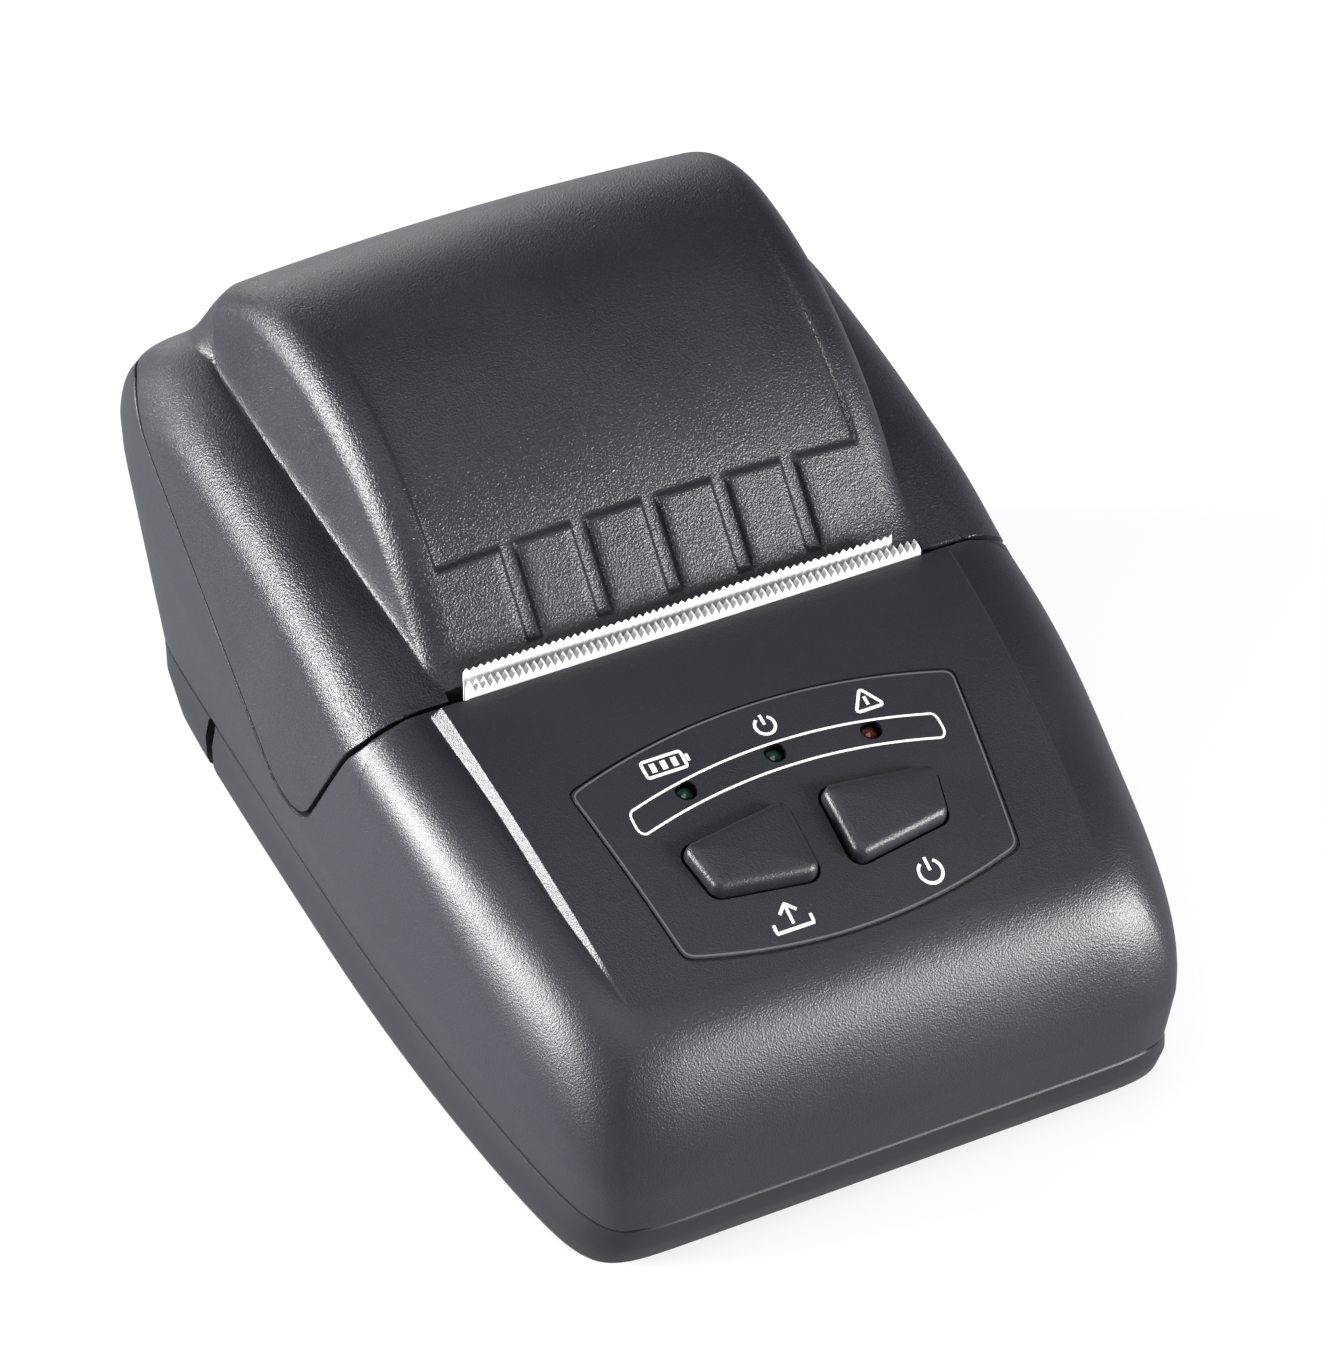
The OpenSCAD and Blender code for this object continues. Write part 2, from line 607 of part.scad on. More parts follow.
// A lamp lens: round body on the key board, domed top just under the panel.
module lamp(x, y) {
  tip = plane_z(y) - 0.5;
  low = board_z + 1.25;
  at_controls() translate([x, plane_v(y), 0]) rotate_extrude() polygon(concat(
    [[0, low], [lamp_r + 0.9, low], [lamp_r + 0.9, low + 0.95], [lamp_r, low + 0.95]],
    [for (a = [0 : 15 : 90]) [lamp_r * cos(a), tip - lamp_r * (1 - sin(a))]]));
}

module lamp_charge() color([0.1, 0.45, 0.25]) lamp(-lamp_x, lamp_y);
module lamp_power() color([0.1, 0.45, 0.25]) lamp(0, lamp_mid_y);
module lamp_error() color([0.6, 0.08, 0.08]) lamp(lamp_x, lamp_y);

// A key: soft-edged cap, retaining flange and a short plunger over its switch.
module key_cap() {
  round_h = 1;
  low = flange_z - 1.2;
  tip = board_z + switch_h + key_travel + 0.4;
  at_controls() {
    hull() for (i = [0 : 3]) translate(key_spot(i)) {
      translate([0, 0, flange_z - 0.2]) cylinder(r = key_r, h = key_proud - round_h - flange_z, $fn = 20);
      translate([0, 0, key_proud - round_h]) scale([1, 1, round_h / key_r]) sphere(key_r, $fn = 20);
    }
    translate([0, 0, low]) linear_extrude(1.2) key_outline(key_flange);
    translate([key_mid[0], 0, tip]) cylinder(r = 1.6, h = low - tip + 0.3);
  }
}

module feed_key() color([0.25, 0.25, 0.28]) mirror([1, 0, 0]) key_cap();
module power_key() color([0.25, 0.25, 0.28]) key_cap();

// The tear bar: a saw-toothed blade with a flange under the panel's edge.
module tear_bar() color([0.9, 0.9, 0.92]) {
  n = floor(tear_l / tooth_p);
  foot_z = panel_z(slot_front - 4) - roof_t - 1.1;
  translate([-n * tooth_p / 2, slot_front + 1.1, 0]) rotate([90, 0, 0]) linear_extrude(1) polygon(concat(
    [[n * tooth_p, foot_z], [0, foot_z]],
    [for (i = [0 : n - 1]) for (k = [0, 1]) [(i + k * 0.5) * tooth_p, slot_z + 0.7 + k * 1.1]],
    [[n * tooth_p, slot_z + 0.7]]));
  block([-n * tooth_p / 2, slot_front - 4, foot_z], [n * tooth_p / 2, slot_front + 0.2, foot_z + 0.8]);
}

// The free end of the paper: comes up from the platen behind the tear bar, torn along the top.
module paper_tongue() color([0.97, 0.97, 0.96]) {
  n = 48;
  x0 = -tear_l / 2 + 0.3;
  low = platen_z - 1.5;
  translate([x0, slot_y + 1, 0]) rotate([90, 0, 0])
    linear_extrude(0.12) polygon(concat([[paper_w, low], [0, low]],
      [for (i = [0 : n]) [paper_w * i / n, slot_z + tongue + 0.5 * (i % 2) + 0.35 * sin(i * 47)]]));
}

module on_roll_axis(from, to) {
  along_x(from, to) translate([roll_y, roll_z]) children();
}

module paper_roll() color([0.96, 0.96, 0.94]) on_roll_axis(-paper_w / 2, paper_w / 2) difference() {
  circle(roll_r, $fn = 96);
  circle(core_r + 0.05);
}

module roll_core() color([0.72, 0.6, 0.44]) on_roll_axis(-paper_w / 2, paper_w / 2) difference() {
  circle(core_r);
  circle(core_r - core_t);
}

// The bin: a half-round trough on two side walls that straddle the battery.
module paper_bin() color([0.2, 0.2, 0.22]) {
  out = bin_half + bin_t;
  difference() {
    union() {
      on_roll_axis(-out, out) circle(bin_r + bin_t, $fn = 96);
      mirrored() block([bin_half, roll_y - 20, floor_z + 0.05], [out, roll_y + 15, roll_z - 12]);
    }
    on_roll_axis(-bin_half, bin_half) circle(bin_r, $fn = 96);
    mirrored() on_roll_axis(bin_half - 1, out + 1) circle(core_r + 4);
    block([-half_w, 0, roll_z - 8], [half_w, half_l, 99]);
  }
}

module shaft_line(from, to) {
  along_x(from, to) translate([platen_y, platen_z]) children();
}

module platen_shaft() color(steel) shaft_line(-plate_out - 0.4, gear_x + gear_w + 0.4) circle(shaft_r);

module platen_rubber() color([0.12, 0.12, 0.13]) shaft_line(-rubber_half, rubber_half) difference() {
  circle(platen_r, $fn = 64);
  circle(shaft_r + 0.01);
}

// An involute tooth outline: flank points at root, pitch line and tip on both sides.
function inv(a) = tan(a) - a * PI / 180;
function flank(n, rad) = let (rp = gear_m * n / 2, rb = rp * cos(20), a = rad > rb ? acos(rb / rad) : 0)
  (PI / 2 / n - 0.11 / rp + inv(20) - inv(a)) * 180 / PI;
function gear_points(n) = let (rr = [for (k = [-1.2, -0.45, 0, 0.45, 0.9]) gear_m * (n / 2 + k)])
  flat([for (i = [0 : n - 1]) let (c = 360 * i / n)
    [for (k = [0 : 9]) let (j = k < 5 ? k : 9 - k, f = flank(n, rr[j]) * (k < 5 ? -1 : 1))
      rr[j] * [cos(c + f), sin(c + f)]]]);

module gear(n, bore, turn) {
  rotate(turn) difference() {
    polygon(gear_points(n));
    circle(bore);
  }
}

module platen_gear() color([0.9, 0.88, 0.8]) shaft_line(gear_x, gear_x + gear_w)
  gear(platen_teeth, shaft_r + 0.01, mesh_dir + 180 + 180 / platen_teeth);

module platen_bushings() color([0.8, 0.78, 0.7]) mirrored() shaft_line(arm_in, plate_out + 0.2) difference() {
  circle(bush_r);
  circle(shaft_r + run_gap);
}

// Two arms and a cross web under the lid that carry the platen.
module platen_bracket() color([0.22, 0.22, 0.24]) {
  out = arm_in + arm_t;
  web_y = platen_y + 3.2;
  web_top = top_z(true, out, web_y, wall) - 0.3;
  mirrored() along_x(arm_in, out) difference() {
    polygon([[platen_y - 3.4, platen_z + 2.8], [platen_y - 4, platen_z - 2], [platen_y - 2, platen_z - 4.4],
      [platen_y + 2.6, platen_z - 4.4], [web_y + 1.6, platen_z - 1], [web_y + 1.6, web_top],
      [web_y, web_top], [platen_y - 1, platen_z + 4]]);
    translate([platen_y, platen_z]) circle(bush_r + 0.01);
  }
  block([-out, web_y, platen_z + 4.2], [out, web_y + 1.6, web_top]);
}

// The chassis: two side plates on the tray floor, a spring bar in front and a guide bar behind.
module mechanism_frame() color(steel * 0.85) {
  slot_r = bush_r + 0.6;
  front_y = motor_y - motor_r - 1;
  mirrored() along_x(plate_in, plate_out) difference() {
    polygon([[front_y, floor_z + 1.05], [platen_y + 9, floor_z + 1.05], [platen_y + 9, platen_z - 8],
      [platen_y + 6, platen_z + 2.6], [slot_y - 3, platen_z + 1.4], [slot_y - 7, platen_z - 2],
      [front_y, motor_z + motor_r]]);
    translate([platen_y, platen_z]) circle(slot_r);
    translate([platen_y - slot_r, platen_z]) square([2 * slot_r, 9]);
    translate([idler_y, idler_z]) circle(axle_r + 0.01);
    translate([motor_y, motor_z]) circle(3.2);
  }
  for (b = [[slot_y - 8.4, platen_z - 8, platen_z + 1.4], [platen_y + 6.6, platen_z - 22, platen_z - 9]])
    block([-plate_in - 0.2, b[0], b[1]], [plate_in + 0.2, b[0] + 1.6, b[2]]);
  at_frame_feet(floor_z + 1.05) difference() {
    block([-2.6, -3.4, 0], [plate_in + eps - frame_foot_x, 3.4, 1.4]);
    translate([0, 0, -1]) cylinder(r = screw_r + 0.1, h = 4);
  }
}

head_back = slot_y - 2.9;
module print_head() color([0.8, 0.8, 0.82]) {
  difference() {
    block([-rubber_half - 1.2, head_back, platen_z - 8.5], [rubber_half + 1.2, slot_y - 0.1, platen_z + 1.9]);
    for (k = [-3 : 3]) let (x = k * rubber_half / 3.6)
      block([x - 2, head_back - 1, platen_z - 9], [x + 2, head_back + 1.2, platen_z - 5]);
  }
}

module head_ceramic() color([0.93, 0.92, 0.88]) {
  block([-rubber_half, slot_y - 0.1, platen_z - 5], [rubber_half, slot_y + 0.55, platen_z + 2]);
  along_x(-rubber_half, rubber_half) intersection() {
    translate([slot_y + 0.1, platen_z]) circle(0.7);
    translate([slot_y + 0.5, platen_z - 2]) square([2, 4]);
  }
}

// Coil springs that press the head toward the platen, as helical sweeps.
module coil(r, wire, pitch, turns) {
  steps = 8;
  sides = 5;
  n = steps * turns;
  pts = [for (i = [0 : n]) for (k = [0 : sides - 1])
    let (a = 360 * i / steps, b = 360 * k / sides, q = r + wire * cos(b))
    [q * cos(a), q * sin(a), pitch * i / steps + wire * sin(b)]];
  side = [for (i = [0 : n - 1]) for (k = [0 : sides - 1])
    let (a = i * sides + k, b = i * sides + (k + 1) % sides) two(a, b, b + sides, a + sides)];
  start = [for (k = [sides - 1 : -1 : 0]) k];
  end = [for (k = [0 : sides - 1]) n * sides + k];
  polyhedron(pts, concat(flat(side), [start, end]));
}

module head_springs() color(steel) {
  from = slot_y - 6.8 + 0.3;
  span = head_back - from - 0.3;
  for (x = [-0.62, 0.62] * rubber_half)
    translate([x, from, platen_z - 3]) rotate([-90, 0, 0]) coil(1.8, 0.25, span / 4, 4);
}

module motor_line(from, to) {
  along_x(from, to) translate([motor_y, motor_z]) children();
}

module stepper_motor() color([0.62, 0.62, 0.64]) {
  face = plate_in - 0.05;
  motor_line(face - motor_l, face) difference() {
    circle(motor_r);
    circle(motor_shaft_r + run_gap);
  }
  motor_line(face, plate_out) difference() {
    circle(3.1);
    circle(motor_shaft_r + run_gap);
  }
}

module motor_shaft() color(steel) motor_line(plate_in - motor_l + 2, gear_x + gear_w + 0.2)
  circle(motor_shaft_r);

module motor_pinion() color([0.78, 0.68, 0.42]) motor_line(gear_x, gear_x + gear_w)
  gear(pinion_teeth, motor_shaft_r + 0.01, motor_dir + 180 + 180 / pinion_teeth);

module idler_gear() color([0.92, 0.9, 0.84]) {
  along_x(gear_x, gear_x + gear_w) translate([idler_y, idler_z]) difference() {
    gear(idler_teeth, axle_r + run_gap, mesh_dir);
    for (a = [0 : 60 : 300]) rotate(a) translate([6, 0]) circle(1.6);
  }
}

module idler_axle() color(steel) {
  along_x(plate_in - 0.6, gear_x + gear_w + 0.3) translate([idler_y, idler_z]) circle(axle_r);
  along_x(gear_x + gear_w + 0.3, gear_x + gear_w + 0.9) translate([idler_y, idler_z]) circle(axle_r + 1);
}

module main_board() color([0.1, 0.35, 0.2]) {
  y0 = -half_l + 16;
  y1 = slot_y + 10;
  z = board_top - board_t + 0.05;
  block([-board_half, y0, z], [board_half, y1, z + board_t]);
  for (c = [[-14, y0 + 14, 7, 1.4], [10, y0 + 22, 5, 1.2], [-4, y1 - 10, 4, 1.6]])
    block([c[0] - c[2], c[1] - c[2], z + board_t - eps], [c[0] + c[2], c[1] + c[2], z + board_t + c[3]]);
}

module key_board() color([0.1, 0.35, 0.2]) at_controls() difference() {
  block([-key_out_x - 6.6, -11, board_z], [key_out_x + 6.6, plane_v(lamp_mid_y) + 3.4, board_z + 1.2]);
  mirrored() for (v = [-8.4, 4.5]) translate([key_out_x + 4.3, v, board_z - 1]) cylinder(r = 1, h = 4);
}

module key_switches() color([0.15, 0.15, 0.16]) at_controls() mirrored()
  translate([key_mid[0], 0, board_z + 1.25]) {
    block([-3, -3, 0], [3, 3, switch_h - 2.25]);
    cylinder(r = 1.7, h = switch_h - 1.25);
  }

module battery_pack() color([0.16, 0.3, 0.5]) {
  r = 5.6;
  hull() mirrored() for (y = [roll_y - 14, roll_y + 10]) translate([pack_half - r, y, floor_z + 0.05 + r])
    for (s = [-1, 1]) rotate([90 * s, 0, 0]) cylinder(r = r, h = 3, $fn = 32);
}

// Places its children in a rear opening, with Z pointing into the case.
module in_rear_wall(x, d) {
  translate([x, rear_y(jack_z) - wall - d, jack_z]) rotate([90, 0, 0]) children();
}

module charge_jack() color([0.1, 0.1, 0.11]) in_rear_wall(jack_x, 1.5) {
  difference() {
    cylinder(r = 3.3, h = 11);
    translate([0, 0, -1]) cylinder(r = 2.6, h = 9);
  }
  cylinder(r = 0.9, h = 10.5);
  translate([-4.5, -5.4, 2.4]) cube([9, 2.4, 8.6]);
}

module data_port() color(steel) in_rear_wall(port_x, 0.8) difference() {
  linear_extrude(8) hull() mirrored() translate([3, 0]) circle(1.6, $fn = 24);
  translate([0, 0, -1]) linear_extrude(7) hull() mirrored() translate([3, 0]) circle(1.2, $fn = 24);
}

module hinge_line(from, to) {
  along_x(from, to) translate([hinge_y, hinge_z]) children();
}

// The lid's half of the hinge: a bored barrel and a web that lies under the lid's gussets.
module hinge_barrel() color(charcoal) {
  difference() {
    union() {
      hinge_line(-barrel_half, barrel_half) circle(hinge_r);
      block([-barrel_half, hinge_y - hinge_web, hinge_z - 0.8], [barrel_half, hinge_y - 1.5, hinge_z + 0.8]);
    }
    hinge_line(-barrel_half - 1, barrel_half + 1) circle(pin_r + run_gap);
  }
}

// The base's half: two ears on feet that follow the inside of the rear wall.
module hinge_brackets() color(charcoal) mirrored() along_x(ear_x, ear_x + ear_t) difference() {
  low = hinge_z - hinge_r - 11;
  mid = hinge_z - hinge_r - 0.8;
  union() {
    translate([hinge_y, hinge_z]) circle(hinge_r);
    polygon([[hinge_y - hinge_r, low], [tail_y(low) - wall - 0.7, low], [tail_y(mid) - wall - 1.7, mid],
      [hinge_y, hinge_z], [hinge_y - hinge_r, hinge_z]]);
  }
  translate([hinge_y, hinge_z]) circle(pin_r + 0.01);
}

module hinge_pins() color(steel) mirrored() hinge_line(barrel_half - 8, ear_x + ear_t) circle(pin_r);

module rubber_feet() color([0.1, 0.1, 0.11]) at_feet(0) {
  cylinder(r1 = foot_r - 0.5, r2 = foot_r, h = 0.5);
  translate([0, 0, 0.5]) cylinder(r = foot_r, h = foot_h - 0.5);
}

module screw(len, head_r, head_h) {
  cylinder(r = head_r, h = head_h);
  translate([0, 0, head_h]) cylinder(r = screw_r - 0.25, h = len);
}

module case_screws() color(steel) at_bosses(tray_z + 0.4) screw(13, 2.7, 1.8);

module frame_screws() color(steel) at_frame_feet(floor_z + 4) rotate([180, 0, 0]) screw(3.4, 1.9, 1.5);

base_tray();
front_housing();
lid_shell();
control_overlay();
lamp_charge();
lamp_power();
lamp_error();
feed_key();
power_key();
tear_bar();
paper_tongue();
paper_roll();
roll_core();
paper_bin();
platen_shaft();
platen_rubber();
platen_gear();
platen_bushings();
platen_bracket();
mechanism_frame();
print_head();
head_ceramic();
head_springs();
stepper_motor();
motor_shaft();
motor_pinion();
idler_gear();
idler_axle();
main_board();
key_board();
key_switches();
battery_pack();
charge_jack();
data_port();
hinge_barrel();
hinge_brackets();
hinge_pins();
rubber_feet();
case_screws();
frame_screws();
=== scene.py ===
"""Looks of a portable receipt printer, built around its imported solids.

The shells are grid surfaces worked out from the same form values as the solids, in millimetres,
and turned into metres when a mesh is made. Every other solid keeps its mesh and gets a finish.
"""

import json
import logging
import math
from dataclasses import dataclass, field
from enum import Enum
from typing import Callable, Iterable, Optional, Sequence

import bmesh
import bpy
import numpy as np
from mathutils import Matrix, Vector


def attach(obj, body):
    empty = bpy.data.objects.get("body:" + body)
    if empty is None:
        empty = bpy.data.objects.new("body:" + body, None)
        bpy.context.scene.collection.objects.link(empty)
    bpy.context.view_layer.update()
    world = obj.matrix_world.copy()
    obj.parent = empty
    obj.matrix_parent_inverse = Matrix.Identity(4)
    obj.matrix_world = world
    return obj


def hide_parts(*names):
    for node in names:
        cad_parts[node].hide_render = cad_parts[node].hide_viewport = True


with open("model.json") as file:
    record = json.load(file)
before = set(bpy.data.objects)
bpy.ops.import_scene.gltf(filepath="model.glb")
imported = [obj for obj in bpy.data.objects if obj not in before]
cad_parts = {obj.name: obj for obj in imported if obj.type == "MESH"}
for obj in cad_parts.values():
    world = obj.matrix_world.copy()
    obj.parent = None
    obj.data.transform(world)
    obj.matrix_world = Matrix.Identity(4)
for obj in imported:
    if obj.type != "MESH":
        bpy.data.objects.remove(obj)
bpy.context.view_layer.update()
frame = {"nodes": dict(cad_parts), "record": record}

LOG = logging.getLogger("receipt_printer")
MM = 0.001
WELD = 0.002
TINY = 1e-12
MIRROR = np.array([-1.0, 1.0, 1.0])
Array = np.ndarray
TopField = Callable[[Array, Array], Array]
Colour = tuple[float, float, float]


class Body(str, Enum):
    """The moving bodies that new pieces ride on."""

    BASE = "base"
    LID = "lid"
    FEED = "feed_button"
    POWER = "power_button"


def clamp01(t: Array) -> Array:
    """Limits t to the span from 0 to 1."""
    return np.clip(t, 0.0, 1.0)


def ease(t: Array) -> Array:
    """Smooth step: 3c^2 - 2c^3 of t limited to 0..1."""
    c = clamp01(t)
    return c * c * (3.0 - 2.0 * c)


def blend_max(a: Array, b: Array, k: float) -> Array:
    """The larger of two heights, rounded where they lie within k of each other."""
    return np.maximum(a, b) + np.maximum(k - np.abs(a - b), 0.0) ** 2 / (4.0 * k)


def spread(knots: Sequence[float], counts: Sequence[int]) -> Array:
    """Runs of evenly spaced values between knots.

    Args:
        knots: the values at which the spacing changes, in order.
        counts: the number of steps in each run.

    Returns:
        All values, with each knot once.
    """
    runs = [np.linspace(a, b, n, endpoint=False) for a, b, n in zip(knots[:-1], knots[1:], counts)]
    return np.concatenate(runs + [np.array(knots[-1:], float)])


def run_lengths(points: Array) -> Array:
    """Length along each polyline up to each of its points."""
    step = np.linalg.norm(np.diff(points, axis=1), axis=2)
    return np.concatenate([np.zeros((len(points), 1)), np.cumsum(step, axis=1)], axis=1)


def points_at(points: Array, measure: Array, want: Array) -> Array:
    """Points on polylines where a measure that rises along them has wanted values, straight between samples.

    Args:
        points: array of shape (rows, samples, 3).
        measure: value at each sample, of shape (rows, samples).
        want: wanted values, of shape (rows, count).

    Returns:
        Array of shape (rows, count, 3).
    """
    place = (measure[:, None, :] <= want[:, :, None] + TINY).sum(axis=2) - 1
    place = np.clip(place, 0, points.shape[1] - 2)
    low = np.take_along_axis(measure, place, axis=1)
    high = np.take_along_axis(measure, place + 1, axis=1)
    t = clamp01((want - low) / np.maximum(high - low, TINY))[..., None]
    first = np.take_along_axis(points, place[..., None], axis=1)
    second = np.take_along_axis(points, place[..., None] + 1, axis=1)
    return first + (second - first) * t


def along(points: Array, count: int) -> Array:
    """Resamples polylines at even shares of their length.

    Args:
        points: array of shape (rows, samples, 3).
        count: number of points wanted on each row.

    Returns:
        Array of shape (rows, count, 3).
    """
    length = run_lengths(points)
    share = length / np.maximum(length[:, -1:], 1e-9) + np.arange(length.shape[1]) * 1e-9
    return points_at(points, share, np.repeat(np.linspace(0.0, 1.0, count)[None], len(points), axis=0))


def cut_rows(points: Array, keep: Array, margin: float) -> Array:
    """Ends polylines where they leave a region.

    Args:
        points: array of shape (rows, samples, 3), each row starting inside.
        keep: signed value at each sample, positive inside the region.
        margin: least length that every row keeps.

    Returns:
        Polylines of the same shape whose samples past the crossing all lie on the crossing.
    """
    length = run_lengths(points)
    outside = keep < 0
    leaves = outside.any(axis=1)
    last = np.where(leaves, outside.argmax(axis=1), points.shape[1] - 1)
    before = np.maximum(last - 1, 0)
    rows = np.arange(len(points))
    a, b = keep[rows, before], keep[rows, last]
    t = np.where(leaves, clamp01(a / np.where(np.abs(a - b) < TINY, 1.0, a - b)), 1.0)
    reach = length[rows, before] + (length[rows, last] - length[rows, before]) * t
    return points_at(points, length, np.minimum(length, np.maximum(reach, margin)[:, None]))


def corner_frames(p: Array) -> tuple[Array, Array, Array, Array]:
    """Unit sides before and after each corner of a polygon, half its angle, and its unit bisector."""
    u, v = np.roll(p, 1, axis=0) - p, np.roll(p, -1, axis=0) - p
    u = u / np.linalg.norm(u, axis=1, keepdims=True)
    v = v / np.linalg.norm(v, axis=1, keepdims=True)
    half = np.arccos(np.clip((u * v).sum(axis=1), -1, 1)) / 2
    return u, v, half, (u + v) / np.linalg.norm(u + v, axis=1, keepdims=True)


def rounded_outline(corners: Sequence[Sequence[float]], radii: Sequence[float], per_corner: int) -> Array:
    """A closed polygon whose corners are replaced by arcs.

    At each corner the two sides are met by a circle of the given radius; its centre lies on the bisector at
    radius over the sine of half the corner's angle.

    Args:
        corners: points in order.
        radii: radius of each corner.
        per_corner: points on each arc.

    Returns:
        Array of shape (points, 2).
    """
    p, r = np.array(corners, float), np.array(radii, float)
    u, v, half, bisector = corner_frames(p)
    centre = p + bisector * (r / np.sin(half))[:, None]
    start = p + u * (r / np.tan(half))[:, None] - centre
    end = p + v * (r / np.tan(half))[:, None] - centre
    a0 = np.arctan2(start[:, 1], start[:, 0])
    turn = np.arctan2(end[:, 1], end[:, 0]) - a0
    turn = (turn + np.pi) % (2 * np.pi) - np.pi
    angle = a0[:, None] + turn[:, None] * np.linspace(0, 1, per_corner)[None, :]
    arc = centre[:, None, :] + r[:, None, None] * np.stack([np.cos(angle), np.sin(angle)], axis=2)
    return arc.reshape(-1, 2)


def resample_loop(loop: Array, count: int) -> Array:
    """Evenly spaced points on a closed outline."""
    closed = np.concatenate([loop, loop[:1]])
    flat = np.concatenate([closed, np.zeros((len(closed), 1))], axis=1)
    return along(flat[None], count + 1)[0, :-1, :2]


def add_object(name: str, data: bpy.types.ID) -> bpy.types.Object:
    """Makes an object from its data and links it into the scene."""
    made = bpy.data.objects.new(name, data)
    bpy.context.scene.collection.objects.link(made)
    return made


@dataclass
class Patchwork:
    """Grids of points that become one welded mesh."""

    points: list = field(default_factory=list)
    faces: list = field(default_factory=list)
    total: int = 0

    def grid(self, p: Array, wrap_rows: bool = False, wrap_columns: bool = False) -> None:
        """Adds a grid of quads.

        Args:
            p: array of shape (rows, columns, 3), in millimetres.
            wrap_rows: joins the last row to the first.
            wrap_columns: joins the last column to the first.
        """
        rows, columns = p.shape[:2]
        index = np.arange(rows * columns).reshape(rows, columns) + self.total
        if wrap_rows:
            index = np.concatenate([index, index[:1]])
        if wrap_columns:
            index = np.concatenate([index, index[:, :1]], axis=1)
        quads = np.stack([index[:-1, :-1], index[:-1, 1:], index[1:, 1:], index[1:, :-1]], axis=2)
        self.points.append(p.reshape(-1, 3))
        self.faces.append(quads.reshape(-1, 4))
        self.total += rows * columns

    def mesh(self, name: str, upward: bool = False) -> bpy.types.Object:
        """Welds points that coincide and makes an object with outward faces.

        Args:
            name: name of the object.
            upward: True for an open sheet, whose faces are turned so that most look up.

        Returns:
            The new object, at the origin.
        """
        data = bpy.data.meshes.new(name)
        data.from_pydata((np.concatenate(self.points) * MM).tolist(), [], np.concatenate(self.faces).tolist())
        made = bmesh.new()
        made.from_mesh(data)
        bmesh.ops.remove_doubles(made, verts=made.verts, dist=WELD * MM)
        bmesh.ops.dissolve_degenerate(made, edges=made.edges, dist=WELD * MM)
        bmesh.ops.recalc_face_normals(made, faces=made.faces)
        if upward and sum(f.normal.z * f.calc_area() for f in made.faces) < 0:
            bmesh.ops.reverse_faces(made, faces=made.faces)
        weight = made.edges.layers.float.new("bevel_weight_edge")
        for rim in (e for e in made.edges if e.is_boundary):
            rim[weight] = 1.0
        made.to_mesh(data)
        made.free()
        return add_object(name, data)


def settle(piece: bpy.types.Object, sharp_deg: float = 38.0) -> bpy.types.Object:
    """Turns an object's modifiers into its mesh and shades it smooth up to an angle.

    Args:
        piece: object with modifiers.
        sharp_deg: edges bent more than this stay sharp.

    Returns:
        The same object.
    """
    graph = bpy.context.evaluated_depsgraph_get()
    made = bpy.data.meshes.new_from_object(piece.evaluated_get(graph))
    old = piece.data
    piece.modifiers.clear()
    piece.data = made
    made.name = piece.name
    bpy.data.meshes.remove(old)
    made.shade_smooth()
    made.set_sharp_from_angle(angle=math.radians(sharp_deg))
    return piece


def thicken(piece: bpy.types.Object, wall: float, rim: float) -> None:
    """Gives a sheet a wall on its inner side and rounds the wall's outer rim.

    Args:
        piece: the sheet, facing outward.
        wall: thickness in millimetres.
        rim: radius of the rim in millimetres; 0 leaves it square.
    """
    solid = piece.modifiers.new("wall", "SOLIDIFY")
    solid.thickness = wall * MM
    solid.offset = -1.0
    solid.use_even_offset = False
    solid.use_quality_normals = True
    if rim > 0:
        edge = piece.modifiers.new("rim", "BEVEL")
        edge.limit_method = "WEIGHT"
        edge.width = rim * MM
        edge.segments = 2
        edge.use_clamp_overlap = False


def carve(piece: bpy.types.Object, cutters: Iterable[bpy.types.Object]) -> bpy.types.Object:
    """Cuts closed solids out of a closed piece and removes the cutters.

    Args:
        piece: the piece to cut.
        cutters: closed solids.

    Returns:
        The cut piece, settled.
    """
    tools = list(cutters)
    for tool in tools:
        cut = piece.modifiers.new(tool.name, "BOOLEAN")
        cut.operation = "DIFFERENCE"
        cut.solver = "MANIFOLD"
        cut.object = tool
    settle(piece)
    for tool in tools:
        data = tool.data
        bpy.data.objects.remove(tool)
        bpy.data.meshes.remove(data)
    return piece


